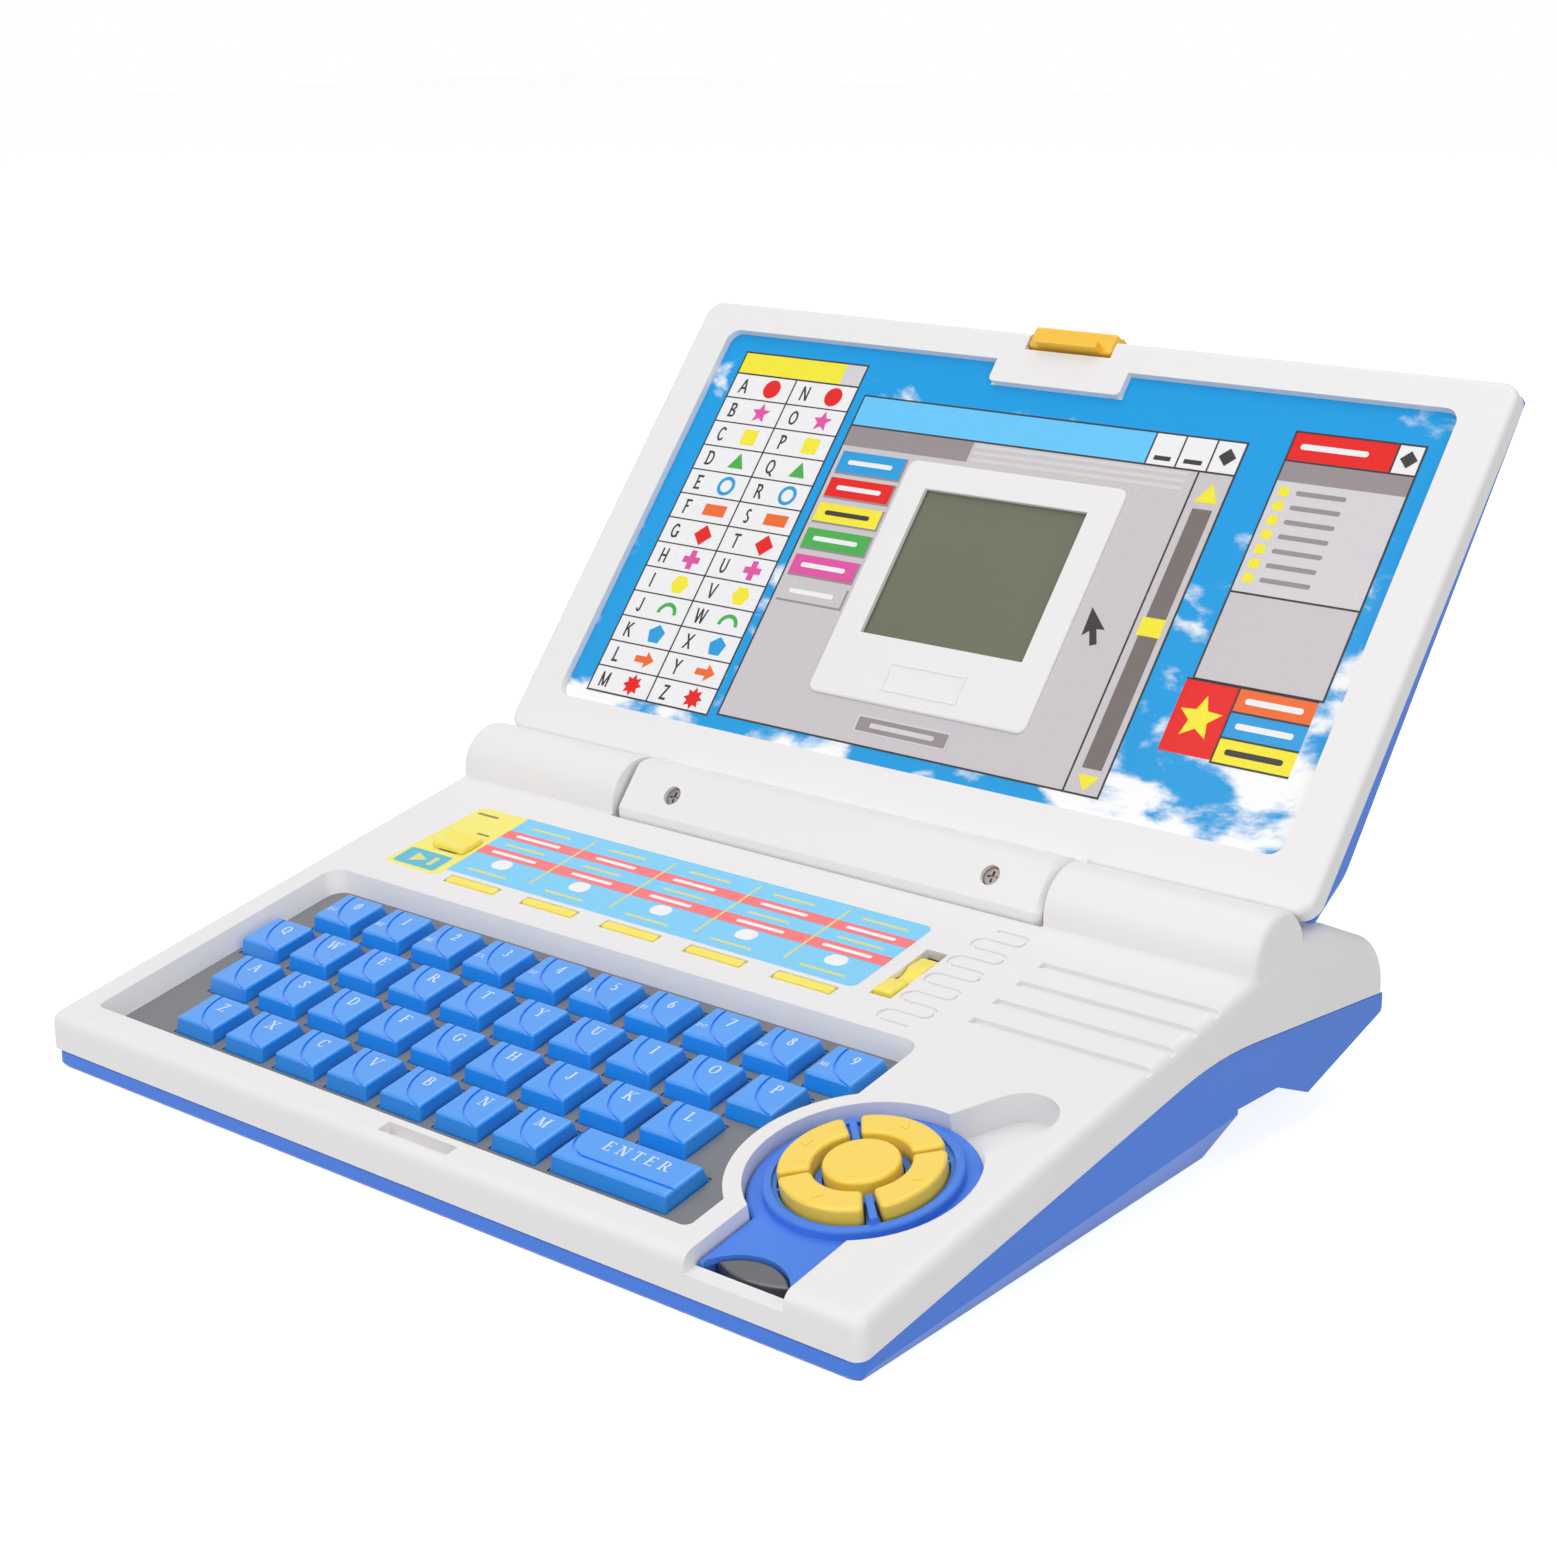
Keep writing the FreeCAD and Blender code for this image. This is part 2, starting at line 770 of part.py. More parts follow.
def deck_openings():
    """Everything cut into the deck from above."""
    high = "over_deck"
    through = ("-2*wall", high)
    window_round = key_recess(high)
    rim = disc("rim", "rim_radius", ("-2*plate_drop", "2*" + high), "mouse_x", "mouse_v")
    window = cut("window", window_round, [rim])
    pocket = disc("pocket", "mouse_radius + pocket_gap", ("-pocket_depth", high), "mouse_x", "mouse_v")
    channel = brick(
        "channel", middle("handle_width + 2*pocket_gap", "mouse_x"),
        ("handle_front - pocket_gap", "mouse_v"), ("-pocket_depth", high),
    )
    ledge = brick(
        "ledge", middle("handle_width + 2*pocket_gap", "mouse_x"),
        ("-over_deck", "handle_front"), ("-ledge_drop", high),
    )
    notch = notch_capsule("notch", "notch_radius", "-notch_depth", high)
    tools = [window, pocket, channel, ledge] + notch
    for i in range(int(value("activity_count"))):
        tools.append(brick(
            f"activity_slot_{i + 1}",
            middle("activity_length + 2*fit", f"-activity_first_x + {i}*activity_pitch"),
            middle("activity_depth + 2*fit", "activity_v"),
            through,
        ))
    tools.append(brick(
        "mode_slot", middle("mode_stem_width + 2*fit", "-mode_x"),
        middle("mode_stem_depth + 2*mode_travel + 2*fit", "mode_v"), through,
    ))
    tools.append(brick(
        "rocker_slot", middle("rocker_width + 2*fit", "rocker_x"),
        middle("rocker_slot_length", "rocker_slot_v"), ("-2*rocker_depth", high),
    ))
    tools.append(rod(
        "rocker_bearing_bore", "rocker_pin + fit", middle("rocker_width + 2*wall + 4*fit", "rocker_x"),
        "rocker_v", "-rocker_pivot",
    ))
    for i in range(int(value("speaker_slots"))):
        tools.append(brick(
            f"speaker_slot_{i + 1}", ("speaker_left", "speaker_right"),
            middle("speaker_slot", f"speaker_first_v + {i}*speaker_pitch"), ("-speaker_groove", high),
        ))
    tools.append(brick(
        "latch_slot", middle("latch_slot_width"), middle("latch_slot_depth", "latch_slot_v"),
        ("-hook_reach - fit", high),
    ))
    return place_in_base(fuse("deck_openings", tools + wave_groove(high)))


def wave_groove(high):
    """The engraved wave: bars along X joined by half rings at alternate ends."""
    tools = []
    bars = int(value("wave_bars"))
    depth = ("-wave_depth", high)
    for i in range(bars):
        v = f"wave_first_v + {i}*wave_pitch"
        tools.append(brick(f"wave_bar_{i}", ("wave_left", "wave_right"), middle("wave_line", v), depth))
    for i in range(bars - 1):
        x, turn = ("wave_right", "-90") if i % 2 else ("wave_left", "90")
        v = f"wave_first_v + ({i} + 0.5)*wave_pitch"
        bend = disc(f"wave_bend_{i}", "wave_pitch/2 + wave_line/2", depth, x, v, "180", turn)
        core = disc(f"wave_core_{i}", "wave_pitch/2 - wave_line/2", ("-2*wave_depth", f"2*{high}"), x, v)
        tools.append(cut(f"wave_turn_{i}", bend, [core]))
    return tools


def make_top_case():
    trough_span = ("-hump_inner", "hump_inner")
    wall_span = ("-hump_inner - pin_reach/2", "hump_inner + pin_reach/2")
    trough_wall = rod("trough_wall", "trough_radius + wall", wall_span, "hinge_y", "hinge_z")
    posts = [screw_post(f"post_{i}", x, y) for i, (x, y) in enumerate(post_spots(), 1)]
    cavity = cut("cavity", shell_cavity(), [trough_wall] + posts)
    cavity = cut("cavity_clear", cavity, [deck_keepers()])
    outside = fuse("case_solid", [shell_outside()] + sides("hump", hump))
    trough = rod("trough", "trough_radius", trough_span, "hinge_y", "hinge_z")
    pin_span = ("-hump_inner - pin_reach - fit", "hump_inner + pin_reach + fit")
    pins = rod("pin_bores", "pin_radius + fit", pin_span, "hinge_y", "hinge_z")
    screw_bores = [
        disc(f"post_bore_{i}", "screw_radius + fit", ("0", "screw_length + fit"), x, y)
        for i, (x, y) in enumerate(post_spots(), 1)
    ]
    tools = [cavity, deck_openings(), trough, pins] + sides("hump_hollow", hump_hollow) + screw_bores
    label(on_base(cut("top_case", outside, tools)), "top_case")


# Blue lower shell

def bevel(name, side, inset):
    """The slanting lower edge of a side, deeper towards the back."""
    obj = doc.addObject("Part::Box", name)
    obj.setExpression("Length", formula("base_width"))
    obj.setExpression("Width", formula("(under_start + 2*wall)/cos(bevel_angle)"))
    obj.setExpression("Height", formula("base_width"))
    start = f"vector({side}*(half_width - bottom_inset - {inset}); -wall; bevel_rise + {inset})"
    tilt = f"rotationx(bevel_angle) * rotationy({side}*bevel_tilt)"
    back = "0" if side > 0 else "-base_width"
    shift = f"placement(vector({back}; 0; -base_width); rotationx(0))"
    obj.setExpression("Placement", formula(f"placement({start}; {tilt}) * {shift}"))
    return obj


def bevels(name, inset):
    return sides(name, lambda full, side: bevel(full, side, inset))


def undercut(name, inset):
    """What is left free under the rear corners: a raised run, then a skirt that slopes up to the tail."""
    profile = profile_body(
        name + "_profile",
        [
            (f"under_start - {inset}", "-wall"),
            (f"under_start - {inset}", f"under_high + {inset}"),
            ("under_notch", f"under_high + {inset}"),
            ("skirt_tip", f"skirt_tip_rise + {inset}"),
            ("base_depth", f"skirt_tail_rise + {inset}"),
            ("base_depth + wall", f"skirt_tail_rise + {inset}"),
            ("base_depth + wall", "-wall"),
        ],
        "2*base_width",
    )
    tub = brick(
        name + "_tub", middle(f"2*tub_half - 2*({inset})"), ("0", "2*base_depth"), ("-2*wall", "base_depth")
    )
    return cut(name, settle(profile), [tub])


def bay_wall():
    """The frame that holds the cells in place, open above and below."""
    outer = brick(
        "bay_outer", middle("2*bay_half_x + 2*bay_wall", "-bay_x"),
        middle("2*bay_half_y + 2*bay_wall", "bay_y"), ("0", "bay_wall_height"),
    )
    inner = brick(
        "bay_inner", middle("2*bay_half_x", "-bay_x"), middle("2*bay_half_y", "bay_y"),
        ("-wall", "2*bay_wall_height"),
    )
    return cut("bay_frame", outer, [inner])


def board_props():
    """Bosses on the floor that carry the circuit board."""
    props = []
    for i, v in enumerate(("prop_front", "prop_back")):
        for j, x in enumerate(("-prop_left", "prop_right")):
            y = f"{v}*cos(deck_angle) + board_bottom*sin(deck_angle)"
            top = f"front_height + {v}*sin(deck_angle) - board_bottom*cos(deck_angle)"
            top = f"{top} - prop_radius*tan(deck_angle) - fit/2"
            props.append(disc(f"prop_{i}_{j}", "prop_radius", ("0", top), x, y))
    return props


def make_bottom_case():
    seam = [(y, f"{z} - seam_gap") for y, z in SEAM[:2]]
    width = "base_width - 2*bottom_inset"
    outside = profile_body(
        "bottom_outside",
        [
            ("foot_front + bottom_inset", "0"),
            ("step_start", "0"),
            ("step_end", "step_height"),
            ("heel_start", "step_height"),
            ("heel_front", "0"),
            ("heel_back", "0"),
            ("base_depth", "heel_top"),
        ]
        + seam
        + [("bottom_inset", "seam_front - seam_gap"), ("bottom_inset", "foot_front")],
        width,
    )
    round_profile(outside, "seam_round", [("seam_knee", "seam_high - seam_gap")])
    under = lambda y, z: z > seam_at(y) - 1.5 * value("seam_gap")
    round_ends(outside, "bottom_round", width, lambda y, z: not under(y, z) and y < value("wall"))
    solid = cut("bottom_solid", settle(outside), bevels("bevel", "0") + [undercut("undercut", "0")])
    inside = profile_body(
        "bottom_inside",
        [
            ("wall + bottom_inset", "floor_wall"),
            ("step_start - wall", "floor_wall"),
            ("step_end - wall", "step_height + floor_wall"),
            ("heel_back", "step_height + floor_wall"),
            ("base_depth - wall", "heel_top + floor_wall"),
            ("base_depth - wall", "seam_high + wall"),
            ("wall + bottom_inset", "seam_high + wall"),
        ],
        f"{width} - 2*wall",
    )
    bosses = [
        disc(f"boss_{i}", "post_radius", ("0", "seam_front - fit"), x, y)
        for i, (x, y) in enumerate(post_spots(), 1)
    ]
    kept = bevels("inner_bevel", "wall") + [undercut("inner_undercut", "floor_wall"), bay_wall()]
    kept += bosses + board_props()
    hollow = cut("bottom_hollow", settle(inside), kept)
    door_hole = brick(
        "door_hole", middle("2*bay_half_x", "-bay_x"), middle("2*bay_half_y", "bay_y"),
        ("-wall", "2*floor_wall"),
    )
    screw_ways = []
    for i, (x, y) in enumerate(post_spots(), 1):
        screw_ways.append(disc(f"screw_way_{i}", "screw_radius + fit", ("-wall", "seam_high"), x, y))
        seat = ("-wall", "screw_head_height + fit")
        screw_ways.append(disc(f"screw_seat_{i}", "screw_head_radius + fit", seat, x, y))
    shell = cut("bottom_shell", solid, [hollow, door_hole] + screw_ways)
    door = brick(
        "battery_door", middle("2*bay_half_x - 2*fit", "-bay_x"), middle("2*bay_half_y - 2*fit", "bay_y"),
        ("0", "floor_wall"),
    )
    label(on_base(group("bottom_case", [shell, door])), "bottom_case")


def group(name, shapes):
    """Separate solids that share one node."""
    obj = doc.addObject("Part::Compound", name)
    obj.Links = shapes
    return obj


# What the base holds

def cup_clearance(name, low, high):
    """Room for the controller's cup in the sheets under the keyboard."""
    return [
        disc(name + "_round", "cup_radius + fit", (low, high), "mouse_x", "mouse_v"),
        brick(name + "_run", middle("2*cup_half + 2*fit", "mouse_x"), ("0", "mouse_v"), (low, high)),
    ]


def under_keys(name, margin, low, high):
    """A sheet under the keyboard, clear of the controller's cup."""
    sheet_box = brick(
        name + "_sheet", (f"-window_left - {margin}", f"window_right + {margin}"),
        (f"window_front - {margin}", f"window_back + {margin}"), (low, high),
    )
    return cut(name, sheet_box, cup_clearance(name + "_cup", f"({low}) - wall", f"({high}) + wall"))


def make_key_plate():
    blank = under_keys("plate_blank", "skirt_wall", "-plate_bottom", "-plate_drop")
    holes = [
        brick(f"hole_{name}", middle(f"{width} + 2*key_hole_gap", x), middle("key_depth + 2*key_hole_gap", v),
              ("-2*plate_bottom", "0"))
        for name, x, v, width in key_spots()
    ]
    label(on_deck(cut("key_plate", blank, holes)), "key_plate")


def make_inner_fittings():
    mat = under_keys("dome_mat", "-skirt_wall", "-mat_bottom", "-mat_top")
    board = under_keys("main_board", "-skirt_wall", "-board_bottom", "-mat_bottom")
    cone = disc(
        "speaker", "speaker_radius", ("-wall - fit - speaker_height", "-wall - fit"), "speaker_x", "speaker_v"
    )
    on_the_deck = place_in_base(group("deck_fittings", [mat, board, cone]))
    pieces = [on_the_deck]
    cell_z = "floor_wall + fit + cell_radius"
    for i in range(3):
        y = f"bay_y + ({i} - 1)*cell_pitch"
        pieces.append(rod(f"cell_{i + 1}", "cell_radius", middle("cell_length", "-bay_x"), y, cell_z))
    for name, side in (("contact_right", "1"), ("contact_left", "-1")):
        x = f"-bay_x + {side}*(bay_half_x - contact_thick/2 - fit/2)"
        pieces.append(brick(
            name, middle("contact_thick", x), middle("2*bay_half_y - 2*fit", "bay_y"),
            ("floor_wall + fit", "bay_wall_height"),
        ))
    for i, (x, y) in enumerate(post_spots(), 1):
        head = disc(f"screw_head_{i}", "screw_head_radius", ("fit", "screw_head_height"), x, y)
        shank = disc(f"screw_shank_{i}", "screw_radius", ("fit", "screw_length"), x, y)
        pieces.append(fuse(f"case_screw_{i}", [head, shank]))
    label(on_base(group("inner_fittings", pieces)), "inner_fittings")


def key_cap(name, width):
    """The tapered cap of a key, with rounded edges."""
    cap = doc.addObject("Part::Wedge", name + "_taper")
    bounds = {
        "Xmin": f"-({width})/2",
        "Xmax": f"({width})/2",
        "Ymin": "-key_drop - key_cap",
        "Ymax": "-key_drop",
        "Zmin": "-key_depth/2",
        "Zmax": "key_depth/2",
        "X2min": f"-({width})/2 + key_side_slope",
        "X2max": f"({width})/2 - key_side_slope",
        "Z2min": "-key_depth/2 + key_back_slope",
        "Z2max": "key_depth/2 - key_front_slope",
    }
    for prop, text in bounds.items():
        cap.setExpression(prop, formula(text))
    place(cap, turn="rotationx(90)")
    low = value("-key_drop - key_cap")
    return rounded(name + "_cap", cap, "key_round", lambda b: b.ZMax > low + 0.1)


def arc_line(name):
    """The curved line on a key: it starts at the back edge and ends at the front right corner."""
    ring = disc(name + "_ring", "arc_radius", ("-key_drop - key_line_depth", "wall"), "arc_x", "arc_y")
    core = disc(name + "_core", "arc_radius - key_line", ("-key_base", "2*wall"), "arc_x", "arc_y")
    return [cut(name + "_line", ring, [core])]


def wide_line(name, width):
    """The line on the wide key: a quarter turn at the left and a straight run along the front."""
    x = f"-({width})/2 + 2*key_side_slope + wide_bend"
    y = "key_depth/4"
    depth = ("-key_drop - key_line_depth", "wall")
    ring = disc(name + "_ring", "wide_bend", depth, x, y, "90", "180")
    core = disc(name + "_core", "wide_bend - key_line", ("-key_base", "2*wall"), x, y)
    front = f"{y} - wide_bend"
    run = brick(name + "_run", (x, width), (front, f"{front} + key_line"), depth)
    left = f"{x} - wide_bend"
    start = brick(name + "_start", (left, f"{left} + key_line"), (y, "key_depth/2"), depth)
    return [cut(name + "_line", ring, [core]), run, start]


def make_key(name, x, v, width):
    node = f"key_{name}"
    cap = key_cap(node, width)
    skirt = brick(f"{node}_skirt", middle(width), middle("key_depth"), ("-key_base", "-key_drop - key_cap"))
    flange = brick(
        f"{node}_flange", middle(f"{width} + 2*key_flange"), middle("key_depth + 2*key_flange"),
        ("-key_base", "-flange_top"),
    )
    hollow = brick(
        f"{node}_hollow", middle(f"{width} - 2*key_wall - 2*key_side_slope"),
        middle("key_depth - 2*key_wall - 2*key_front_slope"), ("-2*key_base", "-key_drop - 2*key_wall"),
    )
    stem = disc(f"{node}_stem", "key_stem_radius", ("-key_base", "-key_drop - key_wall"))
    line = wide_line(node, width) if name == "enter" else arc_line(node)
    shell = cut(f"{node}_shell", fuse(f"{node}_solid", [cap, skirt, flange]), [hollow] + line)
    label(on_deck(fuse(node, [shell, stem]), x, v), node)


def make_activity_button(number):
    node = f"activity_button_{number}"
    cap = brick(
        f"{node}_cap", middle("activity_length"), middle("activity_depth"),
        ("-wall - 2*fit", "activity_proud"),
    )
    top = value("activity_proud")
    soft = rounded(f"{node}_soft", cap, "key_round", lambda b: near(b.ZMin, top) or upright(b))
    flange = brick(
        f"{node}_flange", middle("activity_length + 2*key_flange + 2*fit"),
        middle("activity_depth + 2*key_flange"), ("-wall - fit - key_flange_thick", "-wall - fit"),
    )
    x = f"-activity_first_x + {number - 1}*activity_pitch"
    label(on_deck(fuse(node, [soft, flange]), x, "activity_v"), node)


def make_mode_slider():
    top = "fit + mode_knob_height"
    knob = brick("mode_knob", middle("mode_knob_width"), middle("mode_knob_depth"), ("fit", top))
    edge = value(top)
    soft = rounded("mode_knob_soft", knob, "key_round", lambda b: near(b.ZMin, edge) or upright(b))
    dish = rod(
        "mode_dish", "mode_knob_depth", middle("2*mode_knob_width"), "0",
        f"{top} - mode_dish + mode_knob_depth",
    )
    stem = brick(
        "mode_stem", middle("mode_stem_width"), middle("mode_stem_depth"), ("-wall - 2*fit", "2*fit")
    )
    shoe = brick(
        "mode_shoe", middle("mode_knob_width"), middle("mode_knob_depth"),
        ("-wall - fit - key_flange_thick", "-wall - fit"),
    )
    grip = cut("mode_grip", soft, [dish])
    label(on_deck(fuse("mode_slider", [grip, stem, shoe]), "-mode_x", "mode_v"), "mode_slider")


def make_power_rocker():
    """The rocker is drawn about its pin and lies tipped, with its rear end down."""
    top = "rocker_pivot + rocker_proud"
    bar = brick(
        "rocker_bar", middle("rocker_width"), middle("rocker_length"), ("rocker_pivot - rocker_depth", top)
    )
    rise = "rocker_pivot + rocker_saddle_rise"
    saddle = rod("rocker_dip", "rocker_saddle", middle("2*rocker_width"), "0", rise)
    lobes = rounded(
        "rocker_lobes", cut("rocker_saddled", bar, [saddle]), "rocker_round", lambda b: b.ZMin > 0
    )
    pin = rod("rocker_pin", "rocker_pin", middle("rocker_width + 2*wall"), "0", "0")
    y = "base_y + rocker_v*cos(deck_angle) + rocker_pivot*sin(deck_angle)"
    z = "front_height + rocker_v*sin(deck_angle) - rocker_pivot*cos(deck_angle)"
    rocker = fuse("power_rocker", [lobes, pin])
    label(place(rocker, "rocker_x", y, z, "rotationx(deck_angle - rocker_tilt)"), "power_rocker")


# Lid

def make_lid_front():
    block = brick("bezel_block", middle("lid_width"), ("0", "bezel_depth"), ("0", "lid_height"))
    corners = rounded("bezel_corners", block, "lid_corner", inward)
    bezel = rounded("bezel", corners, "bezel_round", lambda b: near(b.YMax, 0))
    hinge = ("-hinge_offset", "-lid_rise")
    bar = rod("knuckle_bar", "block_radius", ("-block_half", "block_half"), *hinge)
    facet = brick(
        "facet", middle("3*block_half"), ("-hinge_offset - 2*block_radius", "-hinge_offset - facet_reach"),
        ("-lid_rise - 2*block_radius", "-lid_rise + 2*block_radius"),
    )
    flat = cut("knuckle_flat", bar, [facet])
    end = value("block_half")
    at_end = lambda b: near(b.XLength, 0) and near(abs(b.XMin), end)
    knuckle = chamfered("knuckle", flat, "block_bevel", at_end)
    neck = brick("neck", ("-block_half", "block_half"), ("0", "bezel_depth"), ("-lid_rise", "wall"))
    pins = rod("pins", "pin_radius", ("-block_half - pin_reach", "block_half + pin_reach"), *hinge)
    frame_box = brick(
        "lcd_frame_box", middle("lcd_frame_width"), ("lcd_frame_sink", "card_drop + card_wall"),
        ("lcd_frame_low", "lcd_frame_high"),
    )
    frame_corners = rounded("lcd_frame_corners", frame_box, "lcd_frame_corner", inward)
    sink = value("lcd_frame_sink")
    frame = rounded("lcd_frame", frame_corners, "key_round", lambda b: near(b.YMax, sink))
    recess_box = brick("recess_box", middle("card_width"), ("-wall", "card_drop"), ("card_low", "card_high"))
    recess_soft = rounded("recess_soft", recess_box, "card_corner", inward)
    tab_box = brick(
        "tab_box", middle("tab_width"), ("-2*wall", "2*card_drop"), ("card_high - tab_height", "2*card_high")
    )
    tab = rounded("tab", tab_box, "bezel_round", inward)
    recess = cut("recess", recess_soft, [tab])
    hollow = brick(
        "bezel_hollow", middle("lid_width - 2*wall"), ("card_drop + card_wall", "2*bezel_depth"),
        ("wall", "lid_height - wall"),
    )
    badge_outer = brick(
        "badge_outer", middle("badge_width"), ("lcd_frame_sink - badge_rise", "lcd_frame_sink + badge_rise"),
        ("badge_low", "badge_high"),
    )
    badge_inner = brick(
        "badge_inner", middle("badge_width - 2*badge_line"), ("-wall", "2*card_drop"),
        ("badge_low + badge_line", "badge_high - badge_line"),
    )
    badge = cut("badge", badge_outer, [badge_inner])
    plate = cut("bezel_open", bezel, [recess, hollow])
    solid = fuse("lid_solid", [plate, frame, badge, neck, knuckle, pins])
    window = brick("lcd_window", middle("lcd_width"), ("-wall", "3*bezel_depth"), ("lcd_low", "lcd_high"))
    seat = brick(
        "lcd_seat", middle("lcd_width + 2*lcd_border + 2*fit"), ("lcd_frame_sink + lcd_lip", "3*bezel_depth"),
        ("lcd_low - lcd_border - fit", "lcd_high + lcd_border + fit"),
    )
    screw_seats = [
        bore(f"lid_screw_seat_{i}", "lid_screw_head + fit", x,
             ("-hinge_offset - 2*block_radius", "lid_screw_face + lid_screw_height + fit"), "-lid_rise")
        for i, x in enumerate(("lid_screw_x", "-lid_screw_x"), 1)
    ]
    screw_ways = [
        bore(f"lid_screw_way_{i}", "screw_radius + fit", x,
             ("-hinge_offset - 2*block_radius", "lid_screw_face + lid_screw_length + fit"), "-lid_rise")
        for i, x in enumerate(("lid_screw_x", "-lid_screw_x"), 1)
    ]
    pin_way = rod(
        "latch_pin_way", "latch_pin_radius + fit", middle("latch_width + 2*fit + 2*latch_pin_reach + 2*fit"),
        "latch_pivot", "latch_pivot_rise",
    )
    tools = [window, seat, latch_notch("front_notch", "2*bezel_depth"), pin_way] + screw_seats + screw_ways
    label(on_lid(cut("lid_front", solid, tools)), "lid_front")


def chamfered(name, base, size, keep):
    """Bevel the edges of a piece whose bounds pass the test."""
    doc.recompute()
    leg = value(size)
    obj = doc.addObject("Part::Chamfer", name)
    obj.Base = base
    obj.Edges = [(i, leg, leg) for i, edge in enumerate(base.Shape.Edges, 1) if keep(edge.BoundBox)]
    return obj


def latch_notch(name, depth):
    """Room for the latch in the lid's top edge."""
    return brick(
        name, middle("latch_width + 2*fit"), ("-bezel_depth", depth),
        ("latch_low - latch_room", "2*lid_height"),
    )


def make_lid_back():
    start = "bezel_depth + back_gap"
    top = "lid_height - back_inset"
    bulge = f"{start} + back_low"
    outside = profile_body(
        "back_outside",
        [
            (start, "back_inset"),
            (f"{start} + back_heel", "back_inset"),
            (bulge, "back_heel_height"),
            (f"{start} + back_high", top),
            (start, top),
        ],
        "lid_width - 2*back_inset",
    )
    round_profile(outside, "rear_round", [(bulge, "back_heel_height")])
    edge = value(start) + 0.1
    round_ends(outside, "back_round", "lid_width - 2*back_inset", lambda y, z: y > edge)
    inside = profile_body(
        "back_inside",
        [
            (f"{start} - back_wall", "back_inset + back_wall"),
            (f"{start} + back_heel - back_wall/2", "back_inset + back_wall"),
            (f"{bulge} - back_wall", "back_heel_height + back_wall"),
            (f"{start} + back_high - back_wall", f"{top} - back_wall"),
            (f"{start} - back_wall", f"{top} - back_wall"),
        ],
        "lid_width - 2*back_inset - 2*back_wall",
    )
    rear_notch = latch_notch("back_notch", "thumb_reach")
    shell = cut("lid_back", settle(outside), [settle(inside), rear_notch])
    label(on_lid(shell), "lid_back")


def make_lcd_panel():
    face = "lcd_frame_sink + lcd_lip + fit/2"
    glass = brick(
        "lcd_glass", middle("lcd_width + 2*lcd_border"), (face, f"{face} + lcd_thick"),
        ("lcd_low - lcd_border", "lcd_high + lcd_border"),
    )
    label(on_lid(group("lcd_panel", [glass])), "lcd_panel")


def make_lid_latch():
    bar = brick("latch_bar", middle("latch_width"), ("-latch_proud", "bezel_depth"),
                ("latch_low", "lid_height + latch_top"))
    front = -value("latch_proud")
    soft = rounded("latch_soft", bar, "latch_round", lambda b: near(b.YMax, front) or near(b.YMin, front))
    thumb_bar = brick("latch_thumb_bar", middle("latch_width"), ("bezel_depth/2", "thumb_reach"),
                      ("lid_height + latch_top - thumb_thick", "lid_height + latch_top"))
    tip = value("thumb_reach")
    thumb = rounded("latch_thumb", thumb_bar, "key_round", lambda b: near(b.YMin, tip))
    hook = brick("latch_hook", middle("hook_width"), ("-hook_reach", "bezel_depth/2"),
                 ("latch_low", "latch_low + hook_thick"))
    pin = rod("latch_pin", "latch_pin_radius", middle("latch_width + 2*latch_pin_reach"),
              "latch_pivot", "latch_pivot_rise")
    label(on_lid(fuse("lid_latch", [soft, thumb, hook, pin])), "lid_latch")


def make_lid_screws():
    screws = []
    face = "lid_screw_face"
    z = "-lid_rise"
    for i, x in enumerate(("lid_screw_x", "-lid_screw_x"), 1):
        head_span = (face, f"{face} + lid_screw_height")
        head = bore(f"lid_screw_head_{i}", "lid_screw_head", x, head_span, z)
        shank_span = (face, f"{face} + lid_screw_length")
        shank = bore(f"lid_screw_shank_{i}", "screw_radius", x, shank_span, z)
        slot = (f"{face} - wall", f"{face} + lid_screw_cross")
        cross = [
            brick(f"lid_screw_cross_{i}_{name}", middle(wide, x), slot, middle(tall, z))
            for name, wide, tall in (
                ("bar", "lid_screw_head*1.3", "lid_screw_slot"),
                ("post", "lid_screw_slot", "lid_screw_head*1.3"),
            )
        ]
        screws.append(cut(f"lid_screw_{i}", fuse(f"lid_screw_blank_{i}", [head, shank]), cross))
    label(on_lid(group("lid_screws", screws)), "lid_screws")


# Controller

# Each arrow button leans towards a neighbour, so that wide gaps are left at the back and the front.
ARROWS = (
    ("right", "arrow_lean"),
    ("up", "90 - arrow_lean"),
    ("left", "180 + arrow_lean"),
    ("down", "270 - arrow_lean"),
)


def sector(name, inner, outer, z, gap, turn="0"):
    """A quarter of a flat ring about a direction, less a gap at each end."""
    full = disc(name + "_full", outer, z, "0", "0", f"90 - 2*({gap})", f"{turn} - 45 + ({gap})")
    core = disc(name + "_core", inner, (f"({z[0]}) - wall", f"({z[1]}) + wall"), turn=f"{turn} + 180")
    return cut(name, full, [core])


